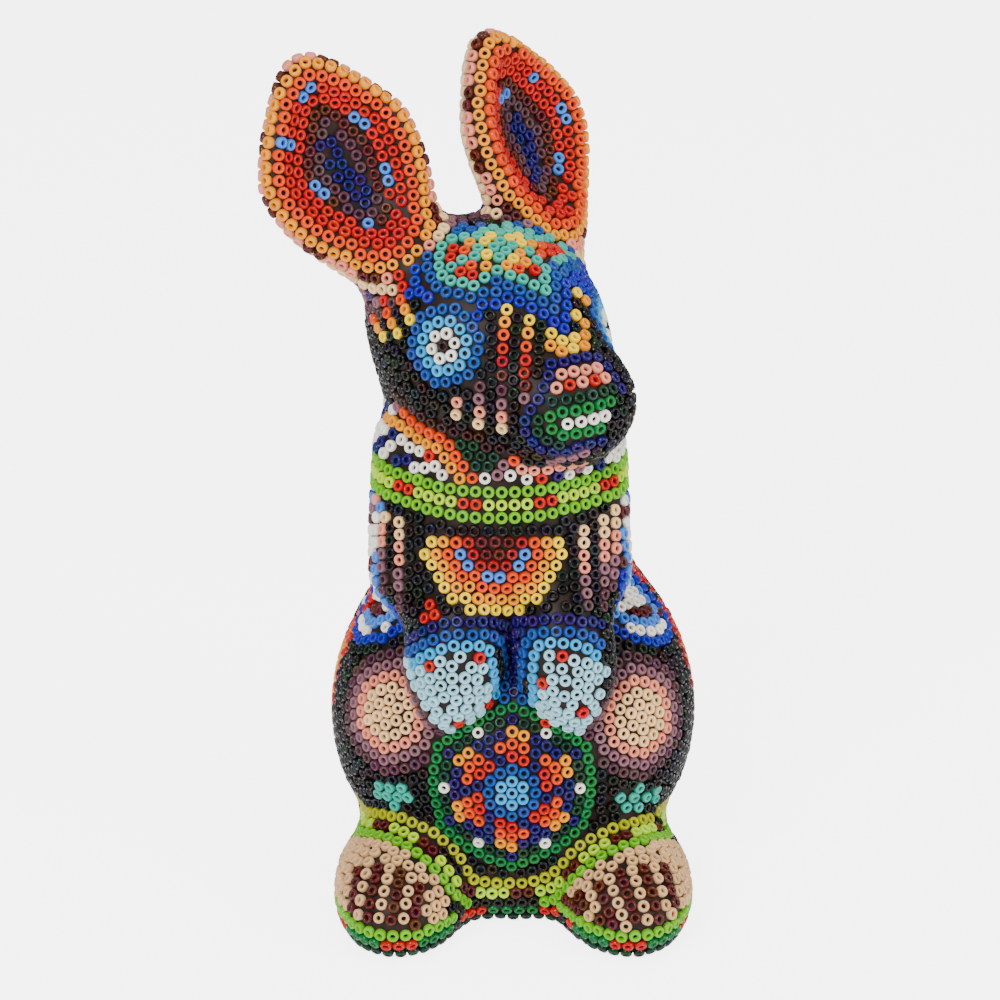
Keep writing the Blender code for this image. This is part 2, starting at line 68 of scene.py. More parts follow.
# ---- the shape -----------------------------------------------------------------------------
def turn(yaw=0.0, pitch=0.0, roll=0.0):
    a, b, c = np.radians([yaw, pitch, roll])
    rz = np.array([[np.cos(a), -np.sin(a), 0], [np.sin(a), np.cos(a), 0], [0, 0, 1]])
    rx = np.array([[1, 0, 0], [0, np.cos(b), -np.sin(b)], [0, np.sin(b), np.cos(b)]])
    ry = np.array([[np.cos(c), 0, np.sin(c)], [0, 1, 0], [-np.sin(c), 0, np.cos(c)]])
    return rz @ rx @ ry


def egg(p, c, r, m=None):
    q = p - np.asarray(c, float)
    if m is not None:
        q = q @ m
    r = np.asarray(r, float)
    k0 = np.sqrt(((q / r) ** 2).sum(-1))
    k1 = np.sqrt(((q / r ** 2) ** 2).sum(-1))
    return k0 * (k0 - 1) / np.maximum(k1, 1e-6)


def limb(p, a, b, ra, rb):
    a = np.asarray(a, float)
    d = np.asarray(b, float) - a
    t = np.clip(((p - a) @ d) / (d @ d), 0, 1)
    q = p - (a + t[:, None] * d)
    return np.sqrt((q * q).sum(-1)) - (ra + (rb - ra) * t)


def join(a, b, k):
    h = np.maximum(k - np.abs(a - b), 0) / k
    return np.minimum(a, b) - h * h * k * 0.25


def carve(a, b, k):
    return -join(-a, -b, k)


HEAD_M = turn(38.0, 8.0)


def on_head(x, y, z):
    return HEAD_C + HEAD_M @ np.array([x, y, z], float)


def head(p):
    d = join(egg(p, HEAD_C, (18.0, 20.6, 17.0), HEAD_M),
             egg(p, on_head(0.8, -7, -6.2), (15.5, 17, 9.8), HEAD_M), 8)
    return join(d, egg(p, on_head(2.0, -22.6, -6.2), (10.5, 9.2, 9.2), HEAD_M), 7)


def torso(p):
    c = join(egg(p, (-2.6, 3.0, 66), (20.2, 19.0, 27)), egg(p, (-2.5, -6.0, 64), (18.5, 13.5, 17)), 6)
    d = join(egg(p, (0.0, 8.5, 31), (27.0, 24, 33)), c, 10)
    return join(d, limb(p, (-2.0, 4.0, 78), (-2.8, 4.0, 94), 17.2, 16.5), 8)


def arms(p):
    out = None
    for s, shoulder, elbow, paw in ((-1, (-16.0, -2, 78), (-15.8, -8, 59), (-9.3, -16.5, 48.5)),
                                    (1, (11.5, -2, 78), (11.5, -9, 60), (8.2, -16.5, 48.5))):
        a = join(limb(p, shoulder, elbow, 7.0, 8.0), egg(p, paw, (8.4, 8.5, 14.0), turn(0, -12, s * -9)), 6)
        out = a if out is None else np.minimum(out, a)
    return out


def feet(p):
    out = None
    for s in (-1, 1):
        f = egg(p, (s * 17.7, -15.5, 6.2), (12.0, 19.5, 11.0), turn(s * 7))
        out = f if out is None else np.minimum(out, f)
    return join(out, egg(p, (0, 4, 6), (26, 26, 12)), 5)


def body(p):
    haunch = np.minimum(egg(p, (-15.5, 1, 29.5), (15, 20, 21)), egg(p, (15.5, 1, 29.5), (15, 20, 21)))
    d = join(torso(p), haunch, 8)
    d = join(d, egg(p, (0, -6, 23), (18, 18, 21)), 8)
    d = join(d, arms(p), 3)
    d = join(d, feet(p), 6)
    return join(d, egg(p, (0, 31.5, 16), (8, 7, 8)), 3)


def ear_frame(e):
    b = np.array(e["base"], float)
    v = np.array(e["tip"], float) - b
    length = float(np.linalg.norm(v))
    v /= length
    n = np.array(e["n"], float)
    n -= n @ v * v
    n /= np.linalg.norm(n)
    return b, length, np.stack([np.cross(v, n), v, n], 1)


def ear_local(q, e, length):
    t = np.clip(q[:, 1] / length, 0, 1)
    q = q.copy()
    q[:, 0] -= e["bend"] * np.sin(np.pi * t)
    q[:, 0] *= 1 + 2.4 * np.clip(t - 0.62, 0, 1) ** 1.5
    d = egg(q, (0, 0.565 * length, 0), (e["hw"], 0.45 * length + 1.2, e["th"]))
    d = join(d, egg(q, (0, 4, -0.5), (7.4, 10, 6.6)), 7)
    hollow = egg(q, (0, 0.61 * length, 9.0), (12.6, 0.405 * length, 9.4))
    return carve(d, -hollow, 2.0)


EAR_FRAMES = {key: ear_frame(e) for key, e in EARS.items()}


def ear(p, key):
    base, length, m = EAR_FRAMES[key]
    return ear_local((p - base) @ m, EARS[key], length)


def whole(p):
    out = np.empty(len(p))
    high = p[:, 2] > 92
    low = p[:, 2] < 112
    out[:] = 50.0
    if low.any():
        q = p[low]
        d = head(q)
        near = q[:, 2] < 110
        b = np.full(len(q), 60.0)
        b[near] = body(q[near])
        out[low] = join(b, d, 6)
    rest = ~low
    if rest.any():
        out[rest] = head(p[rest])
    if high.any():
        q = p[high]
        d = out[high]
        for key in EARS:
            d = join(d, ear(q, key), 5)
        out[high] = d
    return out


TETRA = np.array([[1, 1, 1], [1, -1, -1], [-1, 1, -1], [-1, -1, 1]], float)


def slope(p, h=0.08):
    g = np.zeros_like(p)
    for t in TETRA:
        g += whole(p + h * t)[:, None] * t
    return g / (4 * h)


def settle(p, depth=LEVEL, steps=2):
    """Points moved onto the surface at the given depth, and the outward normals there."""
    p = np.array(p, float)
    g = slope(p)
    for _ in range(steps):
        n2 = np.maximum((g * g).sum(1), 1e-3)
        p = p - g * ((whole(p) + depth) / n2)[:, None]
        g = slope(p)
    return p, g / np.maximum(np.linalg.norm(g, axis=1, keepdims=True), 1e-6)


# ---- the front elevation, in thousandths of its width, y downwards -------------------------------
TILT = math.radians(20.0)
AIM = np.array([-2.2, 0.0, 68.0])
LENS = 3030.0
FWD = np.array([0, math.cos(TILT), -math.sin(TILT)])
UPW = np.array([0, math.sin(TILT), math.cos(TILT)])
EYE = AIM - 500.0 * FWD


def elevation(p):
    q = np.atleast_2d(p) - EYE
    d = q @ FWD
    return np.stack([500 + LENS * q[:, 0] / d, 500 - LENS * (q @ UPW) / d], 1)


def cast(xy):
    """Points of the bead level seen at places of the front elevation, and whether each was met."""
    xy = np.asarray(xy, float)
    d = FWD + np.outer((xy[:, 0] - 500) / LENS, [1.0, 0, 0]) + np.outer((500 - xy[:, 1]) / LENS, UPW)
    d /= np.linalg.norm(d, axis=1, keepdims=True)
    t = np.full(len(d), 430.0)
    live = np.ones(len(d), bool)
    met = np.zeros(len(d), bool)
    for _ in range(60):
        i = np.nonzero(live)[0]
        if not len(i):
            break
        s = whole(EYE + t[i, None] * d[i]) + LEVEL
        t[i] += np.clip(s * 0.85, -2, 25)
        done = np.abs(s) < 0.04
        met[i[done]] = True
        live[i[done]] = False
        live[i[t[i] > 580]] = False
    return EYE + t[:, None] * d, met


def curve(points, closed=False, step=1.5):
    """A smooth line through points, densely sampled."""
    p = np.asarray(points, float)
    if len(p) == 2 and not closed:
        n = max(int(np.linalg.norm(p[1] - p[0]) / step), 2)
        return p[0] + np.linspace(0, 1, n + 1)[:, None] * (p[1] - p[0])
    if closed:
        q = np.vstack([p[-1], p, p[0], p[1]])
    else:
        q = np.vstack([2 * p[0] - p[1], p, 2 * p[-1] - p[-2]])
    out = []
    for i in range(1, len(q) - 2):
        a, b, c, d = q[i - 1], q[i], q[i + 1], q[i + 2]
        n = max(int(np.linalg.norm(c - b) / step), 1)
        t = np.linspace(0, 1, n, endpoint=False)[:, None]
        out.append(0.5 * (2 * b + (c - a) * t + (2 * a - 5 * b + 4 * c - d) * t * t + (3 * b - a - 3 * c + d) * t ** 3))
    if not closed:
        out.append(q[-2][None])
    return np.vstack(out)


ROWS = []             # (dense 3-D line, codes, closed, exact, order)
PENDING = []          # front-elevation lines still to be cast


def line(points, codes, order=1):
    """Exactly one bead per code, evenly along a front-elevation line."""
    PENDING.append((curve(points), codes, False, True, order))


def run(points, codes, closed=False, order=1):
    """As many beads as fit along a front-elevation line, codes repeating."""
    PENDING.append((curve(points, closed), codes, closed, False, order))


def body_axis(z):
    k = np.clip((np.asarray(z, float) - 35) / 35, 0, 1)
    return np.stack([-2.6 * k, np.full(np.shape(z), 2.0), z], -1)


def reach(o, d, depth, shape, far, near=0.0, steps=60):
    ts = np.linspace(far, near, steps)
    inner = np.full(len(o), near)
    outer = np.full(len(o), far)
    found = np.zeros(len(o), bool)
    for t0, t1 in zip(ts[:-1], ts[1:]):
        inside = shape(o + d * t1) <= -depth
        new = inside & ~found
        inner[new], outer[new] = t1, t0
        found |= inside
    for _ in range(16):
        mid = (inner + outer) / 2
        inside = shape(o + d * mid[:, None]) <= -depth
        inner = np.where(inside, mid, inner)
        outer = np.where(inside, outer, mid)
    return inner


def around(theta, z):
    """Points of the body at bearings (degrees, 0 the chest, + the figure's left) and heights."""
    a = np.radians(theta)
    z = np.asarray(z, float)
    d = np.stack([np.sin(a), -np.cos(a), np.zeros_like(a)], -1)
    o = body_axis(z)
    return o + d * reach(o, d, LEVEL, body, 46.0)[:, None]


def belt(height, codes, a=-180.0, b=180.0, order=1):
    th = np.linspace(a, b, int(abs(b - a) * 1.5) + 2)
    ROWS.append((around(th, height(th)), codes, b - a >= 359, False, order))


def wrap(points, codes, closed=False, order=1, exact=False):
    """A line given by (bearing, height) points on the body."""
    c = curve(points, closed, 0.8)
    ROWS.append((around(c[:, 0], c[:, 1]), codes, closed, exact, order))


def disc(at, ring_codes, up=(0, 0, 1.0), twist=0.0, order=0, pitch=PITCH):
    """A rosette of beads: a middle bead and hexagon rings, with a list of codes for each ring."""
    at, n = settle(np.atleast_2d(at), steps=4)
    n = n[0]
    up = np.asarray(up, float)
    up = up - up @ n * n
    up /= np.linalg.norm(up)
    right = np.cross(up, n)
    spots, codes = [(0.0, 0.0)], [ring_codes[0][0]]
    for k in range(1, len(ring_codes)):
        pattern = ring_codes[k]
        for i in range(6 * k):
            side, j = divmod(i, k)
            a0, a1 = math.radians(60 * side + twist), math.radians(60 * (side + 1) + twist)
            x = k * (math.sin(a0) * (1 - j / k) + math.sin(a1) * j / k)
            y = k * (math.cos(a0) * (1 - j / k) + math.cos(a1) * j / k)
            r = math.hypot(x, y)
            want = 0.35 * r + 0.65 * k      # part hexagon, part circle
            spots.append((x * want / r * pitch, y * want / r * pitch))
            codes.append(pattern[i % len(pattern)])
    off = np.array(spots)
    size = np.hypot(off[:, 0], off[:, 1])
    go = (off[:, :1] * right + off[:, 1:] * up) / np.maximum(size, 1e-6)[:, None]
    p = np.repeat(at, len(off), 0)
    for _ in range(14):
        p = p + go * (size / 14)[:, None]
        p, m = settle(p, steps=1)
        go = go - (go * m).sum(1)[:, None] * m
        go /= np.maximum(np.linalg.norm(go, axis=1, keepdims=True), 1e-6)
    ROWS.append((p, "".join(codes), False, None, order))


def front_disc(x, y, rings, twist=0.0, order=0, pitch=PITCH):
    p, met = cast([(x, y)])
    disc(p[0], rings, twist=twist, order=order, pitch=pitch)


# ---- the ears: profiles from the middle of the hollow over the crest to the middle of the back --------
EAR_RINGS = [(0, 90), (0.55, 90), (1, 80), (1, 44), (1, 5), (1, -32), (1, -72), (0.55, -90), (0, -90)]
EAR_SIDES, EAR_FINE = 96, 8
EAR_MAP = {}


def ear_profiles(key):
    e = EARS[key]
    base, length, m = EAR_FRAMES[key]

    def shape(q):
        return ear_local(q, e, length)

    marks = np.arange(0, (len(EAR_RINGS) - 1) * EAR_FINE + 1) / EAR_FINE
    rho = np.interp(marks, range(9), [r[0] for r in EAR_RINGS])
    tilt = np.radians(np.interp(marks, range(9), [r[1] for r in EAR_RINGS]))
    a = 2 * math.pi * np.arange(EAR_SIDES) / EAR_SIDES
    up = np.sin(a)[None]
    v = (0.56 + rho[:, None] * np.where(up > 0, 0.29, 0.52) * up) * length
    u = e["bend"] * np.sin(math.pi * np.clip(v / length, 0, 1))
    u = u + rho[:, None] * np.cos(a)[None] * 0.5 * e["hw"] * np.where(up > 0, 1, 1 - 0.35 * up * up)
    seats = np.stack([u, v, np.full(u.shape, -2.5)], -1).reshape(-1, 3)
    rays = np.stack([np.cos(a)[None] * np.cos(tilt)[:, None], np.sin(a)[None] * np.cos(tilt)[:, None],
                     np.repeat(np.sin(tilt)[:, None], EAR_SIDES, 1)], -1).reshape(-1, 3)
    top = np.broadcast_to(np.array([0, 0, 1.0]), seats.shape)
    seats[:, 2] += (reach(seats, top, 0.0, shape, 9.0) - reach(seats, -top, 0.0, shape, 9.0)) / 2
    q = (seats + rays * reach(seats, rays, LEVEL, shape, 24.0)[:, None]).reshape(len(marks), EAR_SIDES, 3)
    length_along = np.vstack([np.zeros(EAR_SIDES), np.cumsum(np.linalg.norm(np.diff(q, axis=0), axis=2), 0)])
    part = q[EAR_FINE: 5 * EAR_FINE, :, 2]
    crest = EAR_FINE + part.argmax(0)
    s = length_along - length_along[crest, np.arange(EAR_SIDES)] - 1.5
    EAR_MAP[key] = (base + q @ m.T, s, np.degrees(a))


def ear_ring(key, k, codes, order=1, lo=0.0, hi=360.0):
    """Ring k of an ear: 0 on the crest, negative inwards, positive over the rim to the back."""
    pts, s, a = EAR_MAP[key]
    want = k * PITCH * 0.98
    out = []
    for j in range(EAR_SIDES):
        if lo <= a[j] <= hi and s[0, j] < want - 0.3:
            out.append([np.interp(want, s[:, j], pts[:, j, i]) for i in range(3)])
    out = np.array(out)
    if len(out) > 3:
        ROWS.append((out, codes, len(out) == EAR_SIDES, False, order))


for key in EARS:
    ear_profiles(key)
for key in EARS:
    ear_ring(key, 0, "g", 0)
    ear_ring(key, -1, "o", 1)
    ear_ring(key, -2, "r", 1)
    ear_ring(key, -3, "r", 2)
    ear_ring(key, 1, "pppnn", 1)
    ear_ring(key, 2, "k", 2)
    ear_ring(key, -4, "n", 2)
    ear_ring(key, -5, "d", 2)

# ---- the head ------------------------------------------------------------------------------------
EYE_RINGS = ["N", "w", "s", "e"]
front_disc(443.5, 346, EYE_RINGS, twist=10, pitch=2.02)
disc(on_head(17.5, -17.0, 4.0), EYE_RINGS, twist=10, pitch=2.02)
line([(508, 309), (504.5, 336), (502.7, 363), (502.3, 395), (502.5, 428)], "ygorcMdmpk", 0)
line([(528.3, 320), (526, 346), (524.5, 373), (525.4, 400)], "ygorcMm", 0)
line([(481.5, 384), (478.2, 423)], "dmpk", 0)
line([(458, 400), (456, 415)], "pk", 0)
line([(398.4, 275.7), (401.3, 297.3), (410.3, 319.1)], "rrogy", 0)
line([(384.4, 300), (388, 312.4), (398.2, 333.5)], "rogy", 0)
line([(374.5, 317.8), (379.3, 328.3), (384.8, 337)], "ogy", 0)
# black rows beside the stripes keep them straight
line([(491, 326), (490.5, 372), (490.5, 430)], "KKKKKKKKK", 1)
line([(516.5, 318), (515, 372), (514, 428)], "KKKKKKKKKK", 1)
line([(538.5, 326), (537, 372)], "KKKKK", 1)
# edge rows of the crown cap
line([(417, 256), (415.5, 273), (417, 290), (427.5, 297), (437, 303.5), (447, 304.5), (456, 303.5), (466, 307), (476, 313.5), (485, 304),
     (497, 305), (508.4, 297.5), (520, 302), (531, 308), (542, 315), (553, 322), (563, 329.5), (565, 318), (566, 306), (566, 294)], "bbbbbbbbbbbbbbbbbbbb", 0)
line([(428, 255), (428, 266), (432, 278), (441, 288.5), (453.3, 293), (464.2, 293.5), (475.3, 298), (485.8, 290), (496.4, 292.5), (508.4, 286),
     (519.7, 290.7), (531.4, 296.5), (542.3, 303.2), (553.8, 309.5), (554.7, 298.7), (555, 288), (555.7, 276.7)], "eeeeeeeeeeeeeeeee", 0)
line([(441, 278), (452.9, 282.4), (463.8, 283), (475.9, 286), (486.8, 278), (498, 272), (508.8, 275.5), (520.8, 279.5), (531.8, 285),
     (543.8, 291.5), (544.2, 280.5), (544.8, 269.5)], "tttttttttttt", 0)
# brow V on the far side of the stripes
line([(551, 333.5), (562, 341), (573, 349)], "yyy", 0)
line([(576.3, 292.3), (575.8, 307.6), (574.6, 327), (574.2, 338.3)], "yKyKy", 0)
line([(549, 346.5), (560, 352.7), (584.4, 346.5)], "ggyg", 1)
line([(585.3, 300.6), (585.3, 316.8), (584.4, 336)], "gKgg", 1)
# the muzzle
run([(562.4, 362), (548.4, 366.4), (546.1, 380.4), (540.7, 392.4), (535.2, 404.9), (527.9, 415.2), (525.6, 428.8),
     (531.7, 439.3), (540.7, 448.3), (553.8, 450.8), (577.7, 446.4), (600.6, 440.3)], "v", order=0)
run([(562.4, 362), (575.8, 359), (587.2, 357), (598.7, 358.5), (606, 366), (614, 378), (620, 390)], "v", order=0)
line([(558.5, 374.7), (571.9, 372.2), (585.3, 370.3), (597.5, 369)], "pppp", 0)
line([(556.6, 388.2), (570, 385.2), (582.8, 382.2), (594.9, 380.6), (604.8, 378.2)], "prprp", 0)
line([(552.2, 401.4), (568.1, 399.5), (581.5, 397.5), (593.9, 394.6), (604, 391.5), (612.5, 388.5)], "DDDDDD", 0)
line([(561, 412.4), (574.8, 411), (588.2, 408.3), (600.6, 404.6), (610.5, 400.8)], "EEEEE", 0)
line([(567.7, 423.8), (580.9, 421.9), (593.4, 419.2), (605.4, 415.2)], "wwww", 0)
line([(549.5, 418), (553, 427), (561, 434.8), (573.5, 433.4), (586, 431), (598, 427.5)], "EEEEEE", 1)
line([(544.5, 410), (538.4, 424), (546.1, 435.5), (556, 443), (568, 441.5), (580, 438.5), (592, 435)], "DDDDDDDD", 1)
# dark border along the jaw
run([(392, 392), (410, 406), (432, 421.5), (455, 430.5), (480, 436.5)], "N", order=1)
run([(487, 446.5), (500, 447.7), (513, 450.8), (526, 452.6), (539, 456.5)], "N", order=1)

# ---- neck band and collar ---------------------------------------------------------------------------
def collar_height(th):
    return 71.0 + 1.9 * (1 - np.cos(np.radians(th)))


belt(lambda th: collar_height(th) + 0.6, "G", order=0)
belt(lambda th: collar_height(th) + 2.45, "llllrr", order=0)
belt(lambda th: collar_height(th) + 4.25, "G", order=0)
run([(398, 403), (409, 418), (426.5, 431.5), (448, 441.5), (454, 452.5), (461, 463), (469, 471.5), (475, 480), (473, 489)], "o", order=1)
run([(388.5, 418), (405.5, 428.4), (421, 439.5), (441.4, 450.5), (448.3, 461.7), (455.8, 471.5), (462.5, 480.5), (459, 489)], "g", order=1)
run([(583, 452), (560, 458), (540, 459.5), (523.1, 458), (508.8, 458), (503, 465), (497, 473), (490.6, 480), (486, 487), (482, 494)], "m", order=1)
run([(583, 462), (563, 466), (543.2, 468.5), (530.8, 467), (516.1, 467), (508.8, 473), (500, 481), (493, 489)], "p", order=1)
line([(460, 444), (474.4, 447)], "DD", 1)
line([(466, 455), (482, 456.5), (495, 457)], "DDD", 1)
line([(475, 465), (489, 466)], "DD", 1)

# ---- chest, arms and paws ---------------------------------------------------------------------------
line([(432.3, 541.3), (558.5, 541.3)], "ygocMMMcogy", 0)
line([(425.5, 554), (561.5, 554)], "ygofcMMcfogy", 0)
line([(432.3, 565.5), (555.7, 565.5)], "ygofcccfogy", 0)
line([(439, 576.8), (549, 576.8)], "ygooffoogy", 0)
line([(445.7, 587.8), (543.2, 587.8)], "yggooogg" + "y", 0)
line([(454.3, 598.8), (536.5, 598.8)], "yyggggyy", 0)
line([(468.5, 610), (520.5, 610)], "yyyyy", 0)
line([(420, 529), (440, 532.5), (495, 531.5), (545, 531), (572, 527)], "KKKKKKKKKKKK", 2)
line([(399.7, 520.8), (398.5, 560), (400.3, 607.3)], "kkppmmdd", 0)
line([(387.9, 504), (383, 540), (385.4, 590)], "kkppmmdd", 0)
line([(379.5, 489), (372, 520), (370.5, 556)], "kkppmmd", 0)
line([(583.8, 530.4), (585, 565), (587.8, 605)], "kkppmmd", 0)
line([(602.5, 520), (602.5, 562), (602.5, 606)], "kkppmmdd", 0)
line([(614.6, 510), (616, 545), (612, 586)], "kkppmmd", 0)
line([(430.5, 604.5), (436.5, 615)], "rr", 0)
line([(424.5, 619.5), (424.6, 619.6)], "r", 0)
run([(409, 640), (418.8, 634), (429.9, 629.5), (442.2, 624.5), (455.8, 621.9), (467.9, 621.5), (480.7, 621.5), (495, 623), (507, 627)], "v", order=0)
run([(408, 653.5), (417.6, 647.1), (427.8, 642.2), (439.2, 637.3), (453.3, 634), (466.3, 633.6), (478.8, 633.6),
     (492, 636), (500.5, 646), (503.5, 658.3), (504.8, 671), (505.8, 684), (506.4, 697), (507.5, 712)], "e", order=0)
run([(414.4, 664), (426.5, 655.5), (436, 650.5), (448.2, 646.7), (461.5, 645.4), (473.9, 645), (485, 646.5), (491.5, 657),
     (493, 670), (494.2, 683), (495.4, 696), (496.6, 708), (497.5, 720)], "s", order=0)
run([(514, 640), (513.5, 660), (514, 680), (514.5, 700), (514.5, 718)], "v", order=0)
run([(518.4, 621.7), (530, 620.6), (541.3, 619.8), (552.8, 619.3), (565.2, 619.3), (576.7, 620.7), (588.2, 620.5), (599, 623.5)], "v", order=0)
run([(521.8, 712), (522.2, 697), (522.6, 684), (522.8, 671), (523.2, 658), (525, 645), (533.7, 634), (545.1, 631.3),
     (558.5, 631), (571, 632), (582.5, 633.5), (592, 637), (600, 644)], "e", order=0)
run([(532, 722), (532.5, 708), (533, 696), (533.2, 683), (533.4, 670), (534.6, 657), (541, 645.5), (551, 643), (563, 643), (575, 644.5), (586, 648.5), (595, 655)], "s", order=0)

# ---- belly, knees and haunches ------------------------------------------------------------------------
def medallion_rings(core="s", ring="e", petal="rog", ground="v", dots="w", edge="DE"):
    out = [core, core * 6, ring * 12]
    for k in range(3, 7):
        row = ""
        for i in range(6 * k):
            side, j = divmod(i, k)
            off = min(j, k - j)
            if k == 3:
                row += petal[0] if off <= 0 or j == 1 else ground
            elif k == 4:
                row += petal[1] if off <= 1 else ground
            elif k == 5:
                row += petal[2] if off <= 0 or j == 1 else ground
            else:
                row += dots if off == 3 else (ground if off == 0 else edge[0])
        out.append(row)
    out.append(edge[1] * 42)
    return out


front_disc(512, 793, medallion_rings(), twist=0, order=0, pitch=1.99)
KNEE = ["k", "k" * 6, "k" * 12, "p" * 18, "m" * 24, "d" * 30]
front_disc(388, 712, KNEE, order=0, pitch=2.02)
front_disc(641, 717, KNEE, order=0, pitch=2.02)
line([(379.9, 784), (389.5, 786.4), (402, 787)], "ttt", 1)
line([(378.4, 793), (387, 795.8), (396.5, 796.3), (409.9, 796.8)], "tttt", 1)
line([(394.3, 806), (394.5, 806.2)], "t", 1)
line([(638.6, 787.3), (655.8, 789.4)], "tt", 1)
line([(620, 797.5), (632, 796.5), (644.4, 796.4), (654, 798)], "tttt", 1)
line([(626.2, 807), (638.1, 807)], "tt", 1)

# ---- rows above the feet, and the bottom rows all round --------------------------------------------------
OLIVE = [(362, 811), (376, 813), (390.7, 815), (400.7, 817), (412.5, 822), (423.7, 826.4), (433.7, 832), (442, 839), (448.9, 847),
         (456.5, 856), (463.4, 866), (469.5, 875.5), (480, 880.3), (502.3, 882.6), (525.7, 881), (545, 878), (556.5, 871), (564.5, 861.5),
         (572.6, 852.5), (581, 845.3), (590.4, 838.7), (600.7, 833.1), (611.9, 828.5), (623, 825.5), (635.8, 822.4), (652.5, 818), (663.7, 814)]
LIME = [(364, 823), (377, 824.5), (390, 827), (401, 831), (413, 837.5), (424, 843.5), (433.5, 851), (441.5, 860), (449, 869.5), (456, 879.5),
        (462, 888), (472, 892.5), (488, 893.8), (502, 894), (524.6, 892.5), (546.5, 889.5), (559, 883.5), (569.5, 873.5), (578.8, 863.6),
        (588.3, 855.4), (597.4, 848.5), (607.9, 842.8), (619, 838), (630.2, 834.1), (641.3, 831), (652.5, 828), (665, 825)]
GREEN = [(362, 833), (376, 835.5), (389, 839), (400.3, 844), (411.4, 850.5), (422, 858), (431, 866), (439, 875), (446, 884), (453, 893.5), (462, 901.5),
         (475, 904), (494, 905.3), (517.5, 905), (542, 901.5), (556, 897), (566, 888), (575.5, 877.5), (585.5, 868), (596, 860),
         (606, 854), (617, 849), (628.4, 845), (640.2, 841.7), (652.5, 838.6), (667, 835.5)]
run(OLIVE, "O", order=0)
run(LIME, "lllnn", order=0)
run(GREEN, "G", order=0)
for a, b in ((61, 162), (198, 299)):       # the same rows on, as far as the tail
    belt(lambda th: np.full(th.shape, 16.5), "O", a, b, order=0)
    belt(lambda th: np.full(th.shape, 14.6), "lllnn", a + 1.5, b - 1.5, order=0)
    belt(lambda th: np.full(th.shape, 12.7), "G", a + 1, b - 1, order=0)
belt(lambda th: np.full(th.shape, 1.45), "D", order=0)
belt(lambda th: np.full(th.shape, 3.5), "EEEErrr", order=0)
belt(lambda th: np.full(th.shape, 5.55), "G", -175, -8, order=1)
belt(lambda th: np.full(th.shape, 5.55), "G", 8, 185, order=1)
COLUMNS = [
    ("B", [(350, 868), (347, 905)]), ("B", [(369, 862.6), (362.5, 887), (358.3, 914)]), ("B", [(391, 868.8), (384, 893.8), (379.5, 918)]),
    ("B", [(410.5, 878), (408, 893.4), (403.6, 918)]), ("B", [(427.5, 895), (425.3, 911)]), ("B", [(591, 895), (595.6, 907.2)]),
    ("B", [(609, 880), (619, 903.4), (623, 915.7)]), ("B", [(632, 870.4), (639.8, 895), (646.9, 919.5)]),
    ("B", [(653.6, 867), (662.1, 893.4), (668.1, 918.4)]), ("B", [(672.6, 869.3), (682, 911)]),
    ("n", [(359.5, 872), (354.5, 896), (353, 908)]), ("n", [(380, 868), (373.5, 890), (369, 917)]), ("n", [(401, 874), (396, 893.6), (391.6, 919)]),
    ("n", [(419, 888), (416.6, 895.5), (414.4, 914)]), ("n", [(580, 897), (585, 903)]), ("n", [(600, 886), (607.3, 905), (610, 913)]),
    ("n", [(620.5, 874), (629.5, 899), (635, 918)]), ("n", [(643, 869), (651, 894), (657.5, 919)]), ("n", [(663, 868), (672, 890), (677, 914)])]
for code, pts in COLUMNS:
    run(pts, code, order=1)

# ---- sides and back -----------------------------------------------------------------------------------
for s in (-1, 1):
    panel = [(53 * s, 68), (52 * s, 60), (53 * s, 51), (66 * s, 46.5), (82 * s, 44.5), (93 * s, 48), (88 * s, 57), (80 * s, 66), (72 * s, 74), (60 * s, 76)]
    wrap(panel, "b", True, 1)
    inner = [(58.5 * s, 68), (57.5 * s, 60), (58.5 * s, 53), (68 * s, 49), (80 * s, 47.5), (86 * s, 50), (82 * s, 57), (75 * s, 65), (68 * s, 72), (62 * s, 73)]
    wrap(inner, "f", True, 2)
wrap([(-87, 20), (-86, 40), (-90, 56)], "r", False, 1)
wrap([(-91.5, 18), (-90.5, 40), (-95, 58)], "rrooggyyygggoorrrwrooggyo", False, 1)
wrap([(-96, 18), (-95, 40), (-100, 58)], "oogggyyyyyggooowooggyyyo", False, 2)
wrap([(90, 18), (89, 40), (93, 58)], "c", False, 1)
wrap([(94.5, 18), (93.5, 40), (98, 58)], "rrooggyyygggoorrrwrooggyo", False, 2)
wrap([(99, 18), (98, 40), (103, 58)], "r", False, 2)
disc(around(np.array([180.0]), np.array([43.0]))[0], medallion_rings("y", "g", "bfw", "c", "y", "Ot"), order=0, pitch=2.0)
disc(np.array([0.0, 39.5, 16.0]), ["w", "a" * 6, "s" * 12, "e" * 18, "v" * 24], order=0)
for s in (-1, 1):
    disc(around(np.array([138.0 * s]), np.array([26.0]))[0], ["y", "g" * 6, "o" * 12, "r" * 18, "c" * 24], order=0)
    disc(around(np.array([128.0 * s]), np.array([62.0]))[0], ["w", "t" * 6, "E" * 12, "t" * 18], order=0)
disc(on_head(0.0, 20.0, 4.0), ["y", "g" * 6, "o" * 12, "tto" * 6, "t" * 24], order=0)

# ---- casting and spacing of the rows ---------------------------------------------------------------------
if PENDING:
    every = np.vstack([c for c, *_ in PENDING])
    hit, met = cast(every)
    at = 0
    for c, codes, closed, exact, order in PENDING:
        p, ok = hit[at:at + len(c)], met[at:at + len(c)]
        at += len(c)
        if ok.sum() >= 1:
            ROWS.append((p[ok], codes, closed and ok.all(), exact, order))

beads, code_of, rank = [], [], []


def spaced(p, closed):
    d = np.linalg.norm(np.diff(np.vstack([p, p[:1]]) if closed else p, axis=0), axis=1)
    return d


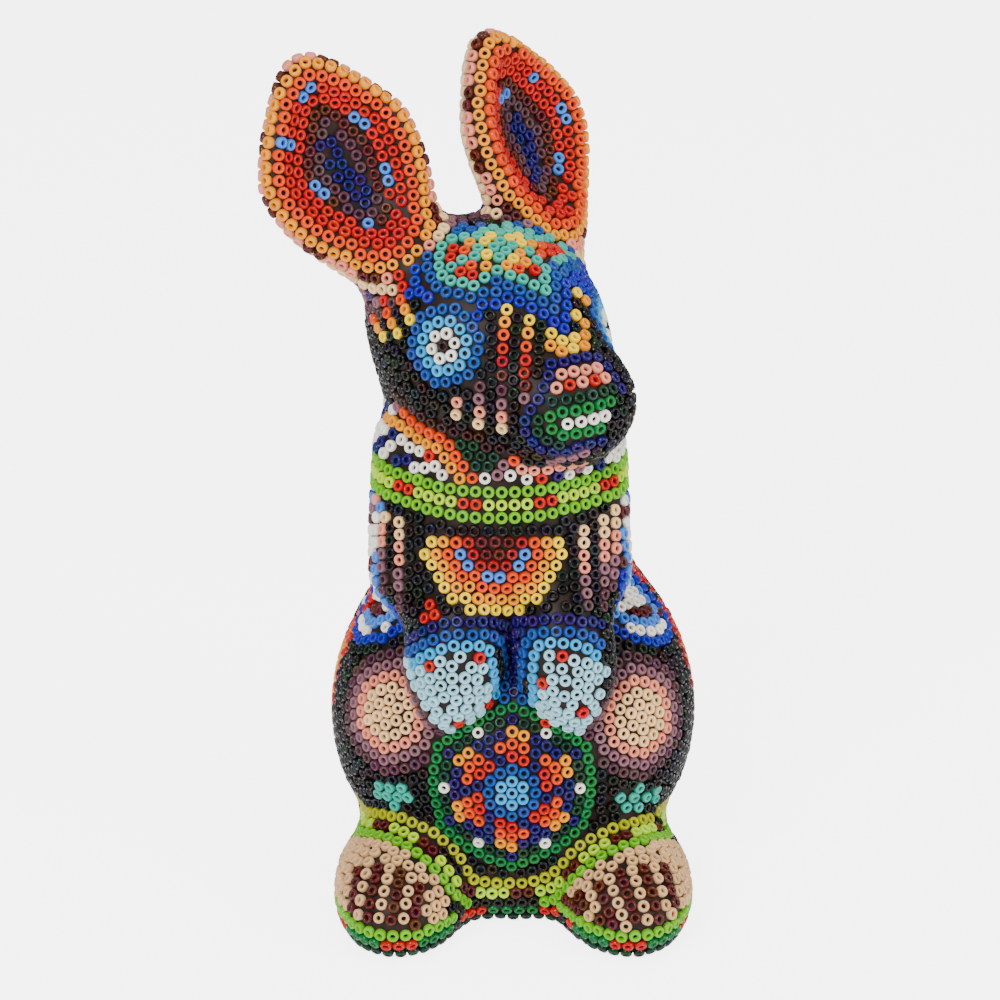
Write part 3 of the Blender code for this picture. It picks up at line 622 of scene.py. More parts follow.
for order in (0, 1, 2):
    for p, codes, closed, exact, o in ROWS:
        if o != order:
            continue
        if exact is None:
            q, c = p, list(codes)
        else:
            d = spaced(p, closed)
            if closed:
                p = np.vstack([p, p[:1]])
            pieces, first = [], 0
            for i, gap in enumerate(d):
                if gap > 2.2:
                    pieces.append((first, i + 1))
                    first = i + 1
            pieces.append((first, len(p)))
            q, c, used = [], [], 0
            for a, b in pieces:
                part = p[a:b]
                if len(part) < 2:
                    if exact and len(p) == 1:
                        q.append(part)
                        c.append(codes[0])
                    continue
                s = np.concatenate([[0], np.cumsum(np.linalg.norm(np.diff(part, axis=0), axis=1))])
                if exact:
                    n = len(codes) if len(pieces) == 1 else max(int(round(s[-1] / PITCH)), 1)
                else:
                    n = max(int(round(s[-1] / PITCH)) + (0 if closed else 1), 1)
                w = np.linspace(0, s[-1], n, endpoint=not closed) if n > 1 else np.array([s[-1] / 2])
                q.append(np.stack([np.interp(w, s, part[:, i]) for i in range(3)], 1))
                c += [codes[(used + i) % len(codes)] for i in range(n)]
                used += n
            if not q:
                continue
            q = np.vstack(q)
        ok = q[:, 2] > 0.9
        q, c = q[ok], [ch for ch, good in zip(c, ok) if good]
        # the limit inside one rosette or row is looser than against earlier rows
        old = np.array(beads) if beads else np.zeros((0, 3))
        for point, ch in zip(q, c):
            if len(old) and (((old - point) ** 2).sum(1).min() < 1.62 ** 2):
                continue
            beads.append(point)
            code_of.append(ch)
            rank.append(order)

beads = np.array(beads)
beads, _ = settle(beads)
keep = np.ones(len(beads), bool)
for i in range(1, len(beads)):
    d2 = ((beads[:i] - beads[i]) ** 2).sum(1)
    if (d2[keep[:i]] < 1.5 ** 2).any():
        keep[i] = False
beads = beads[keep]
code_of = [c for c, k in zip(code_of, keep) if k]
GUIDES = len(beads)

# ---- filling the rest ------------------------------------------------------------------------------------
lo, hi = np.array([-44.0, -37.0, -2.0]), np.array([34.0, 42.0, 146.0])
GRID = 1.0
axes = [np.arange(lo[i], hi[i] + 1e-6, GRID) for i in range(3)]
FIELD = np.empty((len(axes[0]), len(axes[1]), len(axes[2])))
for iz in range(0, len(axes[2]), 8):
    zz = axes[2][iz:iz + 8]
    g = np.stack(np.meshgrid(axes[0], axes[1], zz, indexing="ij"), -1).reshape(-1, 3)
    FIELD[:, :, iz:iz + 8] = whole(g).reshape(len(axes[0]), len(axes[1]), len(zz))

near = np.argwhere(np.abs(FIELD + LEVEL) < 0.95)
base = lo + near * GRID
spots = (base[:, None] + np.array([[i, j, k] for i in (-0.25, 0.25) for j in (-0.25, 0.25) for k in (-0.25, 0.25)])[None]).reshape(-1, 3)
spots = spots[spots[:, 2] > FLOOR_Z]
val = whole(spots)
spots = spots[np.abs(val + LEVEL) < 0.2]
spots, _ = settle(spots, steps=1)
spots = spots[spots[:, 2] > FLOOR_Z]

CELL = 4.4
OFFSETS = [(i, j, k) for i in (-1, 0, 1) for j in (-1, 0, 1) for k in (-1, 0, 1)]


def cells_of(p):
    keys = np.floor(p / CELL).astype(int)
    order = np.lexsort(keys.T)
    ks = keys[order]
    cut = np.nonzero(np.any(np.diff(ks, axis=0) != 0, axis=1))[0] + 1
    out = {}
    for group in np.split(order, cut):
        out[tuple(keys[group[0]])] = group
    wide = {}
    for key in list(out):
        for o in OFFSETS:
            k = (key[0] + o[0], key[1] + o[1], key[2] + o[2])
            if k not in wide:
                parts = [out[(k[0] + q[0], k[1] + q[1], k[2] + q[2])] for q in OFFSETS
                         if (k[0] + q[0], k[1] + q[1], k[2] + q[2]) in out]
                wide[k] = np.concatenate(parts)
    return wide


WIDE = cells_of(spots)


def fill(placed, dmin):
    n = len(spots)
    d1 = np.full(n, 9.0)
    d2 = np.full(n, 9.0)
    heap, new = [], []
    push = heapq.heappush

    def touch(p, pushing):
        idx = WIDE.get(tuple(np.floor(p / CELL).astype(int)))
        if idx is None:
            return
        q = spots[idx] - p
        d = np.sqrt((q * q).sum(1))
        m = d < d2[idx]
        idx, d = idx[m], d[m]
        a = d1[idx]
        closer = d < a
        d2[idx] = np.where(closer, a, d)
        d1[idx] = np.where(closer, d, a)
        if pushing:
            sc = d1[idx] + d2[idx]
            m = (d1[idx] >= dmin) & (sc < 5.4)
            for i, v in zip(idx[m].tolist(), sc[m].tolist()):
                push(heap, (v, i))

    for p in placed:
        touch(p, False)
    ok = np.nonzero((d1 >= dmin) & (d1 + d2 < 5.4))[0]
    heap[:] = list(zip((d1[ok] + d2[ok]).tolist(), ok.tolist()))
    heapq.heapify(heap)
    while True:
        while heap:
            v, i = heapq.heappop(heap)
            if d1[i] >= dmin and abs(v - d1[i] - d2[i]) < 1e-9:
                new.append(i)
                touch(spots[i], True)
        left = np.nonzero(d1 >= dmin)[0]
        if not len(left):
            return spots[new]
        i = left[np.argmin(d1[left] + 0.5 * d2[left])]
        new.append(i)
        touch(spots[i], True)


def neighbours(p, r):
    a, b = [], []
    for i in range(0, len(p), 600):
        d = ((p[i:i + 600, None] - p[None]) ** 2).sum(-1)
        x, y = np.nonzero(d < r * r)
        x = x + i
        m = x < y
        a.append(x[m])
        b.append(y[m])
    return np.concatenate(a), np.concatenate(b)


def relax(p, loose, want, rounds):
    for it in range(rounds):
        if it % 4 == 0:
            a, b = neighbours(p, 3.0)
        d = p[a] - p[b]
        r = np.maximum(np.linalg.norm(d, axis=1), 1e-6)
        f = np.clip(want - r, 0, None) / r * 0.45
        move = np.zeros_like(p)
        w = loose[a] + loose[b]
        np.add.at(move, a, d * (f * loose[a] / w * 2 * 0.8)[:, None])
        np.add.at(move, b, -d * (f * loose[b] / w * 2 * 0.8)[:, None])
        size = np.linalg.norm(move, axis=1, keepdims=True)
        move *= np.minimum(1, 0.35 / np.maximum(size, 1e-9))
        p = p + move
        p, n = settle(p, steps=1)
        p[:, 2] = np.maximum(p[:, 2], FLOOR_Z)
    return p, n


extra = fill(beads, 1.86)
beads = np.vstack([beads, extra])
loose = np.concatenate([np.full(GUIDES, 0.25), np.ones(len(extra))])
beads, normals = relax(beads, loose, 2.05, 10)
for dmin, want, rounds in ((1.62, 2.02, 12), (1.58, 1.99, 12), (1.58, 1.97, 12)):
    more = fill(beads, dmin)
    beads = np.vstack([beads, more])
    loose = np.concatenate([loose, np.ones(len(more))])
    beads, normals = relax(beads, loose, want, rounds)
a, b = neighbours(beads, 1.55)
drop = np.zeros(len(beads), bool)
for i, j in zip(a, b):
    if not drop[i] and not drop[j]:
        drop[max(i, j)] = True
drop[:GUIDES] &= False
beads, normals, loose = beads[~drop], normals[~drop], loose[~drop]

# ---- colours of the filled beads ------------------------------------------------------------------------
N_BEADS = len(beads)
xy = elevation(beads)
hit, met = cast(xy)
seen = met & (np.linalg.norm(hit - beads, axis=1) < 1.6)
h_val = head(beads)
b_val = body(beads)
e_val = {key: ear(beads, key) for key in EARS}
e_min = np.minimum(e_val["right"], e_val["left"])
part = np.where(e_min < np.minimum(h_val, b_val) - 0.2, "ear", np.where(h_val < b_val, "head", "body"))
bearing = np.degrees(np.arctan2(beads[:, 0] - body_axis(beads[:, 2])[:, 0], -(beads[:, 1] - 2.0)))
z = beads[:, 2]


def inside(poly, p):
    x, y = p[:, 0], p[:, 1]
    out = np.zeros(len(p), bool)
    q = list(poly)
    for (x0, y0), (x1, y1) in zip(q, q[1:] + q[:1]):
        cross = ((y0 > y) != (y1 > y)) & (x < (x1 - x0) * (y - y0) / ((y1 - y0) if y1 != y0 else 1e-9) + x0)
        out ^= cross
    return out


fill_code = np.full(N_BEADS, "K")

# head: the crown flower, denim and cobalt round it
CROWN, _ = cast([(501, 258)])
crown_n = settle(CROWN)[1][0]
cf = HEAD_M @ np.array([0, -1.0, 0])
cf = cf - cf @ crown_n * crown_n
cf /= np.linalg.norm(cf)
view_down = np.array([0.08, -1.0, 0.0])
cf = view_down - view_down @ crown_n * crown_n
cf /= np.linalg.norm(cf)
cr = np.cross(-cf, crown_n)
rel = beads - CROWN[0]
ca, cb = rel @ cf, rel @ cr
cdist = np.linalg.norm(rel, axis=1)
scale_c = cdist / np.maximum(np.hypot(ca, cb), 1e-6)
ca, cb = ca * scale_c, cb * scale_c
r_c = np.hypot(ca, cb * 0.93)
is_head = part == "head"
CAP = [(405, 225), (409, 295), (425, 305), (437, 311), (456, 310), (466, 313), (476, 321), (487, 311), (500, 312), (510, 303), (520, 309),
       (531, 315), (542, 323), (553, 330), (563, 338), (572, 330), (572, 296), (610, 300), (600, 225)]
FLOWER = [(434, 268), (440, 280), (453, 286), (464, 287), (476, 290), (487, 282), (498, 276), (509, 280), (521, 284), (532, 289), (546, 296),
          (549, 266), (560, 266), (571, 258), (566, 246), (548, 236), (504, 226), (463, 234), (446, 242), (433, 254)]


def edge_gap(poly, p):
    best = np.full(len(p), 1e9)
    q = np.array(list(poly) + [poly[0]], float)
    for u0, u1 in zip(q[:-1], q[1:]):
        d = u1 - u0
        t = np.clip(((p - u0) @ d) / (d @ d), 0, 1)
        best = np.minimum(best, np.linalg.norm(p - (u0 + t[:, None] * d), axis=1))
    return best


cap = is_head & seen & inside(CAP, xy)
dx, dy = xy[:, 0] - 501, xy[:, 1] - 250
away = np.hypot(dx, dy * 1.3)
divide = 245 + 0.57 * np.clip(np.abs(dx) - 11, 0, None)
ahead = xy[:, 1] > divide
petal = np.where(ahead, np.where(away < 19, "y", np.where(away < 30, "g", np.where(away < 41, "o", "r"))),
                 np.where(away < 24, "y", np.where(away < 35, "g", np.where(away < 46, "o", "r"))))
code = np.where((np.abs(dx) < 5.5) | (np.abs(xy[:, 1] - divide) < 3.8), "t", petal)
code = np.where(edge_gap(FLOWER, xy) < 8.0, "t", code)
outside = ~inside(FLOWER, xy)
code = np.where(outside, np.where(edge_gap(FLOWER, xy) < 13, "e", "b"), code)
fill_code = np.where(cap, code, fill_code)
back_cap = is_head & ~seen & (r_c < 17.0)
fill_code = np.where(back_cap, np.where(r_c < 9, "t", np.where(r_c < 13, "e", "b")), fill_code)
crown = cap | back_cap

# ears
for key in EARS:
    pts, s, a = EAR_MAP[key]
    mine = (part == "ear") & (e_val[key] <= e_min + 1e-9)
    idx = np.nonzero(mine)[0]
    flat = pts.reshape(-1, 3)
    for i0 in range(0, len(idx), 400):
        sub = idx[i0:i0 + 400]
        dd = ((beads[sub, None] - flat[None]) ** 2).sum(-1)
        j = dd.argmin(1)
        sv = s.reshape(-1)[j]
        k = np.round(sv / (PITCH * 0.98))
        ring = np.where(k >= 1, "K", "g")
        for kk, ch in ((-1, "o"), (-2, "r"), (-3, "r"), (-4, "n"), (-5, "d")):
            ring = np.where(k == kk, ch, ring)
        ring = np.where(k <= -6, "v", ring)
        h = h_val[sub]
        base_, length_, m_ = EAR_FRAMES[key]
        loc = (beads[sub] - base_) @ m_
        out = np.where(k == 2, "k", np.where(k == 3, "a", "K"))
        patch = (k >= 4) & (np.abs(np.mod(loc[:, 1] - 9.0, 11.0) - 3.5) + 0.9 * np.abs(loc[:, 0] - EARS[key]["bend"]) < 5.0)
        out = np.where(patch, "y", out)
        band = np.where(h < 1.0, "V", np.where(h < 3.2, "m", np.where(h < 5.4, "p", np.where(h < 7.6, "k", out))))
        out = np.where(k >= 2, band, out)
        ring = np.where(k >= 1, out, ring)
        ring = np.where(k == 1, "p", ring)
        fill_code[sub] = ring
# where an ear runs into the head the same bands go on
blend = is_head & (e_min < 4.5) & ~crown
fill_code = np.where(blend & (e_min < 1.2), "m", fill_code)
fill_code = np.where(blend & (e_min >= 1.2) & (e_min < 3.2), "d", fill_code)

# neck band
neck = (part == "body") & (z > collar_height(bearing) + 5.0)
fill_code = np.where(neck, "w", fill_code)
wave = np.mod(bearing * 1.1 - 3.2 * z, 24.0)
fill_code = np.where(neck & (wave < 5.0), "v", fill_code)
fill_code = np.where(neck & (wave > 14.5) & (wave < 17.0), "r", fill_code)
fill_code = np.where(neck & (h_val < 1.4), np.where(np.mod(bearing, 60) < 30, "o", "m"), fill_code)

# paws, between the sky rows
paw = seen & (part == "body") & (inside([(404, 655), (414, 668), (448, 652), (487, 650), (496, 716), (505, 740), (470, 750), (430, 735)], xy)
                                 | inside([(537, 650), (590, 655), (606, 660), (604, 700), (590, 735), (560, 745), (528, 738), (533, 700)], xy))
fill_code = np.where(paw & (z > 33.5), "a", fill_code)
groove = seen & (part == "body") & inside([(504, 625), (524, 625), (526, 732), (502, 732)], xy)
fill_code = np.where(groove, "v", fill_code)

# side panels
panel_in = np.zeros(N_BEADS, bool)
for s in (-1, 1):
    panel_in |= inside([(53 * s, 68), (52 * s, 60), (53 * s, 51), (66 * s, 46.5), (82 * s, 44.5), (93 * s, 48), (88 * s, 57), (80 * s, 66), (72 * s, 74), (60 * s, 76)],
                       np.stack([bearing, z], 1))
panel_in &= part == "body"
fill_code = np.where(panel_in, "w", fill_code)
fill_code = np.where(panel_in & (np.mod(z + 0.12 * np.abs(bearing), 9.5) < 1.9), "n", fill_code)

# feet and the zone below the green row
low_front = seen & (part == "body") & (
    inside([(355, 840), (376, 840), (411, 855), (440, 880), (452, 900), (440, 925), (340, 935), (335, 850)], xy)
    | inside([(567, 892), (590, 868), (628, 849), (667, 840), (690, 850), (690, 935), (600, 930), (562, 905)], xy))
top_beige = inside([(355, 840), (376, 840), (411, 855), (440, 880), (452, 900), (443, 915), (430, 898), (408, 872), (375, 858), (350, 858)], xy) | \
    inside([(567, 892), (590, 868), (628, 849), (667, 840), (685, 848), (672, 862), (632, 866), (600, 884), (580, 905)], xy)
nearest = np.array([c for c, _ in COLUMNS])[np.stack([edge_gap(q, xy) for _, q in COLUMNS]).argmin(0)]
fill_code = np.where(low_front, np.where(top_beige, "B", nearest), fill_code)
low_side = (~seen) & (part == "body") & (z > 6.2) & (z < 12.0) & (np.abs(bearing) > 50)
stripe = np.mod(np.abs(bearing), 9.0) < 3.6
fill_code = np.where(low_side, np.where(stripe, "B", "n"), fill_code)

codes = np.array(list(code_of) + [""] * (N_BEADS - GUIDES))
codes = np.where(np.arange(N_BEADS) < GUIDES, codes, fill_code)

# single accent beads, each the nearest one to a place of the front elevation
ACCENTS = [
    (308, 86, "f"), (301, 95, "f"), (360, 115, "f"), (366, 124, "f"), (286, 138, "f"), (288, 144, "f"), (387, 169, "f"), (389, 179, "f"),
    (313, 183, "f"), (320, 190, "f"), (371, 226, "f"), (529, 80, "f"), (501, 94, "f"), (501, 102, "f"), (559, 112, "f"), (562, 120, "f"),
    (564, 160, "f"), (562, 168, "f"),
    (478, 658, "r"), (432, 669, "r"), (488, 707, "r"), (458, 721, "r"), (568, 655, "r"), (542, 682, "r"), (543, 719, "r"), (583, 712, "r"),
]
vis = np.nonzero(seen)[0]
for x, y, ch in ACCENTS:
    d = np.hypot(xy[vis, 0] - x, xy[vis, 1] - y)
    j = vis[d.argmin()]
    if d.min() < 9:
        codes[j] = ch
print("beads", N_BEADS, "in rows", GUIDES)

# ---- Blender objects --------------------------------------------------------------------------------------
import bpy
from mathutils import Matrix, Vector
from mathutils.bvhtree import BVHTree

rng = np.random.default_rng(7)


def tone(code):
    return np.array(COLOURS[code])


def mesh_object(name, verts, faces, smooth=True):
    """A mesh object from world points in design millimetres and equal-sized faces."""
    verts = (np.asarray(verts, float) + SHIFT) * MM
    faces = np.asarray(faces, np.int32)
    me = bpy.data.meshes.new(name)
    me.vertices.add(len(verts))
    me.vertices.foreach_set("co", verts.astype(np.float32).ravel())
    k = faces.shape[1]
    me.loops.add(faces.size)
    me.loops.foreach_set("vertex_index", faces.ravel())
    me.polygons.add(len(faces))
    me.polygons.foreach_set("loop_start", np.arange(len(faces), dtype=np.int32) * k)
    me.update(calc_edges=True)
    me.polygons.foreach_set("use_smooth", np.full(len(faces), smooth))
    me.validate()
    obj = bpy.data.objects.new(name, me)
    bpy.context.scene.collection.objects.link(obj)
    return obj


# ---- materials
def material(name, rough, colour=None, attribute=None, coat=0.0, ior=1.5, shine=0.5):
    mat = bpy.data.materials.new(name)
    mat.use_nodes = True
    nt = mat.node_tree
    bsdf = nt.nodes["Principled BSDF"]
    bsdf.inputs["Roughness"].default_value = rough
    bsdf.inputs["IOR"].default_value = ior
    bsdf.inputs["Specular IOR Level"].default_value = shine
    bsdf.inputs["Coat Weight"].default_value = coat
    bsdf.inputs["Coat Roughness"].default_value = 0.06
    if attribute:
        at = nt.nodes.new("ShaderNodeAttribute")
        at.attribute_name = attribute
        nt.links.new(at.outputs["Color"], bsdf.inputs["Base Color"])
    if colour is not None:
        bsdf.inputs["Base Color"].default_value = (*colour, 1.0)
    return mat, nt, bsdf


bead_mat, _, _ = material("glass_beads", 0.16, attribute="tint", ior=1.42, shine=0.3)

wax_mat, nt, bsdf = material("beeswax_dark", 0.5, shine=0.2)
coord = nt.nodes.new("ShaderNodeTexCoord")
noise = nt.nodes.new("ShaderNodeTexNoise")
noise.inputs["Scale"].default_value = 420.0
noise.inputs["Detail"].default_value = 4.0
ramp = nt.nodes.new("ShaderNodeValToRGB")
ramp.color_ramp.elements[0].position = 0.3
ramp.color_ramp.elements[0].color = (0.006, 0.003, 0.002, 1)
ramp.color_ramp.elements[1].position = 0.75
ramp.color_ramp.elements[1].color = (0.024, 0.009, 0.005, 1)
nt.links.new(coord.outputs["Object"], noise.inputs["Vector"])
nt.links.new(noise.outputs["Fac"], ramp.inputs["Fac"])
nt.links.new(ramp.outputs["Color"], bsdf.inputs["Base Color"])

wood_mat, nt, bsdf = material("carved_wood", 0.6)
coord = nt.nodes.new("ShaderNodeTexCoord")
wave = nt.nodes.new("ShaderNodeTexWave")
wave.inputs["Scale"].default_value = 90.0
wave.inputs["Distortion"].default_value = 5.0
wave.inputs["Detail"].default_value = 3.0
ramp = nt.nodes.new("ShaderNodeValToRGB")
ramp.color_ramp.elements[0].color = (0.30, 0.16, 0.075, 1)
ramp.color_ramp.elements[1].color = (0.52, 0.33, 0.17, 1)
nt.links.new(coord.outputs["Object"], wave.inputs["Vector"])
nt.links.new(wave.outputs["Fac"], ramp.inputs["Fac"])
nt.links.new(ramp.outputs["Color"], bsdf.inputs["Base Color"])

# ---- surface nets of the shape at a depth
def net(field, depth):
    f = field + depth
    inside_ = f < 0
    nx, ny, nz = f.shape
    corner = [(i, j, k) for i in (0, 1) for j in (0, 1) for k in (0, 1)]
    c = np.stack([inside_[i:nx - 1 + i, j:ny - 1 + j, k:nz - 1 + k] for i, j, k in corner])
    mixed = c.any(0) & ~c.all(0)
    ids = np.full(mixed.shape, -1, np.int64)
    cells = np.argwhere(mixed)
    ids[mixed] = np.arange(len(cells))
    total = np.zeros((len(cells), 3))
    count = np.zeros(len(cells))
    for a_ in range(8):
        for b_ in range(a_ + 1, 8):
            pa, pb = np.array(corner[a_]), np.array(corner[b_])
            if np.abs(pa - pb).sum() != 1:
                continue
            ia, ib = cells + pa, cells + pb
            fa, fb = f[ia[:, 0], ia[:, 1], ia[:, 2]], f[ib[:, 0], ib[:, 1], ib[:, 2]]
            m = (fa < 0) != (fb < 0)
            t = np.where(m, fa / np.where(m, fa - fb, 1), 0)
            total += np.where(m[:, None], pa + t[:, None] * (pb - pa), 0)
            count += m
    verts = lo + GRID * (cells + total / count[:, None])
    quads = []
    for axis in range(3):
        u, v = [q for q in range(3) if q != axis]
        sl0 = [slice(None)] * 3
        sl1 = [slice(None)] * 3
        sl0[axis], sl1[axis] = slice(0, -1), slice(1, None)
        change = inside_[tuple(sl0)] != inside_[tuple(sl1)]
        e = np.argwhere(change)
        e = e[(e[:, u] > 0) & (e[:, v] > 0) & (e[:, u] < mixed.shape[u]) & (e[:, v] < mixed.shape[v])]
        out_first = inside_[tuple(e.T)]
        du, dv = np.zeros(3, int), np.zeros(3, int)
        du[u], dv[v] = 1, 1
        q = np.stack([ids[tuple((e - du - dv).T)], ids[tuple((e - dv).T)], ids[tuple(e.T)], ids[tuple((e - du).T)]], 1)
        flip = out_first if axis != 1 else ~out_first
        q = np.where(flip[:, None], q, q[:, ::-1])
        quads.append(q)
    return verts, np.vstack(quads)


# wood: the core, flat underneath
g_z = np.broadcast_to(axes[2][None, None, :], FIELD.shape)
wv, wq = net(np.maximum(FIELD, -g_z - WOOD), WOOD)
wv[:, 2] = np.where(wv[:, 2] < 0.55, 0.0, wv[:, 2])
wood = mesh_object("wood_core", wv, wq)
wood.data.materials.append(wood_mat)
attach(wood, "root")
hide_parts("wood_body", "wood_ear_right", "wood_ear_left")

# wax: a thin skin between the wood and the beads, open underneath
sv_, sq_ = net(FIELD, WAX)
for _ in range(1):
    sv_, sn_ = settle(sv_, WAX, 1)
RIM = 0.5
keep_face = (sv_[sq_][:, :, 2] > RIM).any(1)
sq_ = sq_[keep_face]
used, inv = np.unique(sq_, return_inverse=True)
sv_, sn_, sq_ = sv_[used], sn_[used], inv.reshape(-1, 4)
sv_[:, 2] = np.maximum(sv_[:, 2], RIM)
edges = np.concatenate([sq_[:, [0, 1]], sq_[:, [1, 2]], sq_[:, [2, 3]], sq_[:, [3, 0]]])
key = np.sort(edges, 1)
_, idx_, cnt_ = np.unique(key, axis=0, return_inverse=True, return_counts=True)
rim = edges[cnt_[idx_.reshape(-1)] == 1]
inner_v = sv_ - 1.15 * sn_
inner_v[:, 2] = np.maximum(inner_v[:, 2], RIM)
flat_rim = np.unique(rim)
inner_v[flat_rim, 2] = RIM
n_ = len(sv_)
skin_q = np.vstack([sq_, sq_[:, ::-1] + n_, np.stack([rim[:, 1], rim[:, 0], rim[:, 0] + n_, rim[:, 1] + n_], 1)])
wax = mesh_object("wax_skin", np.vstack([sv_, inner_v]), skin_q)
wax.data.materials.append(wax_mat)
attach(wax, "root")
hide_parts("wax_body", "wax_head", "wax_ear_right", "wax_ear_left")

# ---- beads: one mesh for each field of the CAD model
names = [n for n in sorted(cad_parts) if n.startswith("beads_")]
tri_v, tri_f, tri_n, at = [], [], [], 0
for k, name in enumerate(names):
    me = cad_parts[name].data
    me.calc_loop_triangles()
    v = np.empty(len(me.vertices) * 3, np.float32)
    me.vertices.foreach_get("co", v)
    f = np.empty(len(me.loop_triangles) * 3, np.int32)
    me.loop_triangles.foreach_get("vertices", f)
    tri_v.append(v.reshape(-1, 3))
    tri_f.append(f.reshape(-1, 3) + at)
    tri_n += [k] * (len(f) // 3)
    at += len(v) // 3
tree = BVHTree.FromPolygons([tuple(v) for v in np.vstack(tri_v).tolist()], [tuple(f) for f in np.vstack(tri_f).tolist()])
owner = []
for p in ((beads + normals * 0.1 + SHIFT) * MM).tolist():
    _, _, i, _ = tree.find_nearest(Vector(p))
    owner.append(tri_n[i])
owner = np.array(owner)

SEGS, PROF = 14, 8
OUTER, HOLE, TALL = 1.0, 0.37, 1.36
mid_r, half_r, half_h = (OUTER + HOLE) / 2, (OUTER - HOLE) / 2, TALL / 2
A = 2 * np.pi * np.arange(SEGS) / SEGS
B = 2 * np.pi * np.arange(PROF) / PROF
# a rounded profile, flatter at the ends than a circle
cb_, sb_ = np.cos(B), np.sin(B)
prof_r = mid_r + half_r * np.sign(cb_) * np.abs(cb_) ** 0.85
prof_h = half_h * np.sign(sb_) * np.abs(sb_) ** 0.9
ring_v = np.stack([np.cos(A)[:, None] * prof_r, np.sin(A)[:, None] * prof_r, np.broadcast_to(prof_h, (SEGS, PROF))], -1).reshape(-1, 3)
ii, jj = np.meshgrid(np.arange(SEGS), np.arange(PROF), indexing="ij")
i2, j2 = (ii + 1) % SEGS, (jj + 1) % PROF
ring_q = np.stack([ii * PROF + jj, i2 * PROF + jj, i2 * PROF + j2, ii * PROF + j2], -1).reshape(-1, 4)
uv = np.stack([np.stack([ii, jj], -1), np.stack([ii + 1, jj], -1), np.stack([ii + 1, jj + 1], -1), np.stack([ii, jj + 1], -1)], 2).reshape(-1, 4, 2)
uv = uv / np.array([SEGS, PROF])

PALETTE = {c: tone(c) for c in COLOURS}
for k, name in enumerate(names):
    mine = np.nonzero(owner == k)[0]
    if not len(mine):
        print("no beads on", name)
        continue
    m = len(mine)
    nrm = normals[mine] + rng.normal(0, 0.05, (m, 3))
    nrm /= np.linalg.norm(nrm, axis=1, keepdims=True)
    ref = np.where(np.abs(nrm[:, 2:3]) > 0.9, [[1.0, 0, 0]], [[0, 0, 1.0]])
    tx = np.cross(ref, nrm)
    tx /= np.linalg.norm(tx, axis=1, keepdims=True)
    ty = np.cross(nrm, tx)
    spin = rng.uniform(0, 2 * np.pi, m)
    ax = tx * np.cos(spin)[:, None] + ty * np.sin(spin)[:, None]
    ay = np.cross(nrm, ax)
    size = rng.normal(1.0, 0.022, m)
    tall = rng.normal(1.0, 0.06, m)
    local = ring_v[None] * np.stack([size, size, tall], -1)[:, None]
    pts = beads[mine][:, None] + local[..., :1] * ax[:, None] + local[..., 1:2] * ay[:, None] + local[..., 2:] * nrm[:, None]
    faces = (ring_q[None] + (np.arange(m) * len(ring_v))[:, None, None]).reshape(-1, 4)
    obj = mesh_object(name.replace("beads_", "bead_rows_"), pts.reshape(-1, 3), faces)
    me = obj.data
    col = np.stack([PALETTE[str(codes[i])] for i in mine])
    col = np.clip(col * rng.normal(1.0, 0.05, (m, 1)) + rng.normal(0, 0.004, (m, 3)), 0.002, 0.95)
    layer = me.color_attributes.new("tint", "FLOAT_COLOR", "POINT")
    rgba = np.ones((m, len(ring_v), 4), np.float32)
    rgba[..., :3] = col[:, None]
    layer.data.foreach_set("color", rgba.ravel())
    uvl = me.uv_layers.new(name="OFBake")
    side = int(math.ceil(math.sqrt(m)))
    cell = np.stack([np.arange(m) % side, np.arange(m) // side], -1) / side
    flat_uv = cell[:, None, None] + (0.14 + 0.72 * uv[None]) / side
    uvl.data.foreach_set("uv", flat_uv.astype(np.float32).ravel())
    me.materials.append(bead_mat)
    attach(obj, "root")
    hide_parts(name)

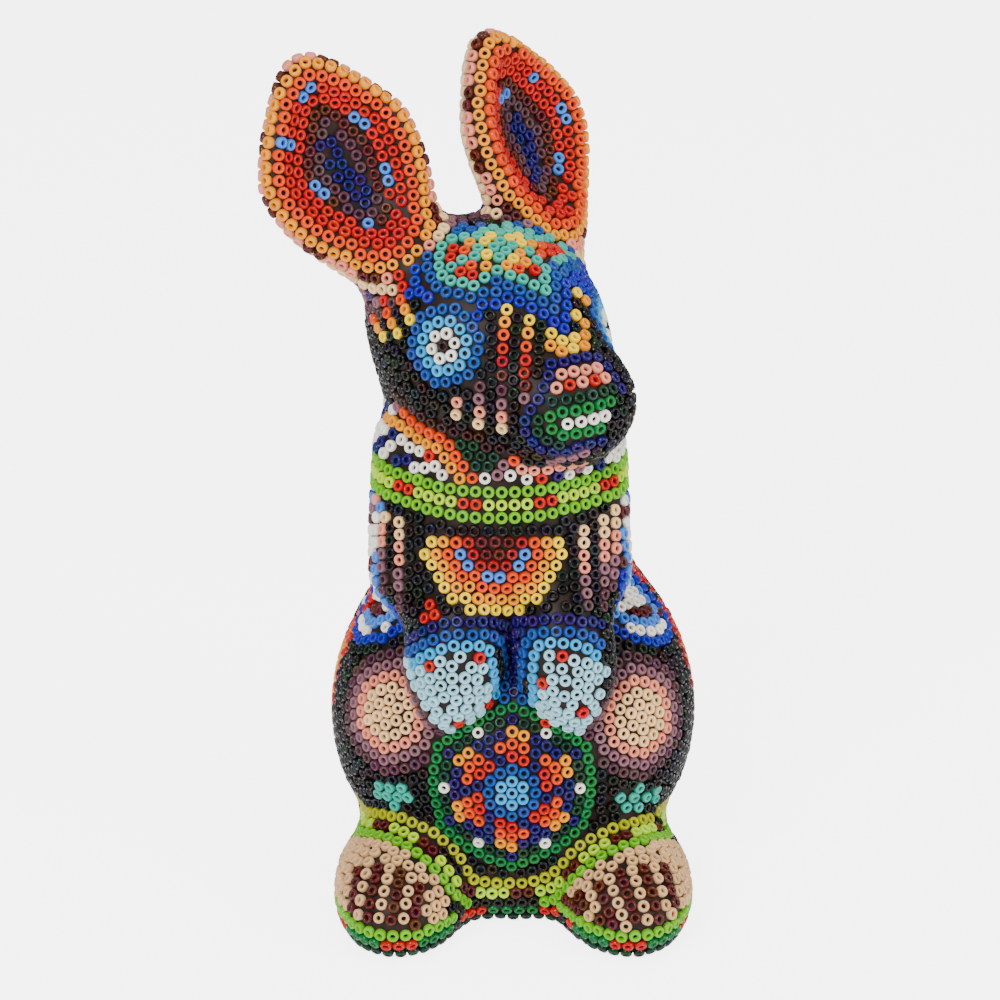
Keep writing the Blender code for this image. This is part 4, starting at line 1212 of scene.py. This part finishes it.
# ---- floor, light and camera
def seen_and_felt(nt, seen_value, felt_value):
    """A strength that is one value to the camera and another to the light it sends out."""
    path = nt.nodes.new("ShaderNodeLightPath")
    mix = nt.nodes.new("ShaderNodeMapRange")
    mix.inputs["To Min"].default_value = felt_value
    mix.inputs["To Max"].default_value = seen_value
    nt.links.new(path.outputs["Is Camera Ray"], mix.inputs["Value"])
    return mix.outputs["Result"]


mat, nt, bsdf = material("floor", 0.8, colour=(0.94, 0.94, 0.94))
bsdf.inputs["Emission Color"].default_value = (1, 1, 1, 1)
nt.links.new(seen_and_felt(nt, 4.5, 0.75), bsdf.inputs["Emission Strength"])
bpy.ops.mesh.primitive_plane_add(size=3.0, location=(0, 0, 0))
floor = bpy.context.object
floor.name = "floor"
floor.data.materials.append(mat)

world = bpy.data.worlds.new("studio")
bpy.context.scene.world = world
world.use_nodes = True
sky = world.node_tree.nodes["Background"]
sky.inputs["Color"].default_value = (0.97, 0.98, 1.0, 1)
world.node_tree.links.new(seen_and_felt(world.node_tree, 5.2, 0.30), sky.inputs["Strength"])


def softbox(name, place, aim, size, power):
    data = bpy.data.lights.new(name, "AREA")
    data.shape = "RECTANGLE"
    data.size, data.size_y = size
    data.energy = power
    o = bpy.data.objects.new(name, data)
    bpy.context.scene.collection.objects.link(o)
    o.location = place
    o.rotation_euler = (Vector(aim) - Vector(place)).to_track_quat("-Z", "Y").to_euler()


softbox("key", (-0.30, -0.62, 0.55), (0, 0, 0.07), (0.30, 0.30), 7.0)
softbox("fill", (0.60, -0.42, 0.38), (0, 0, 0.07), (0.35, 0.35), 4.0)
softbox("top", (0.0, 0.45, 1.25), (0, 0.35, 0.0), (2.2, 2.2), 20.0)

cam_data = bpy.data.cameras.new("camera")
cam_data.sensor_width = 36.0
cam_data.lens = LENS / 1000 * 36.0
cam_data.clip_start, cam_data.clip_end = 0.01, 10.0
cam = bpy.data.objects.new("camera", cam_data)
bpy.context.scene.collection.objects.link(cam)
right = np.array([1.0, 0, 0])
place = (EYE + SHIFT) * MM
cam.matrix_world = Matrix([[right[0], UPW[0], -FWD[0], place[0]], [right[1], UPW[1], -FWD[1], place[1]],
                           [right[2], UPW[2], -FWD[2], place[2]], [0, 0, 0, 1]])
bpy.context.scene.camera = cam

bpy.context.view_layer.update()
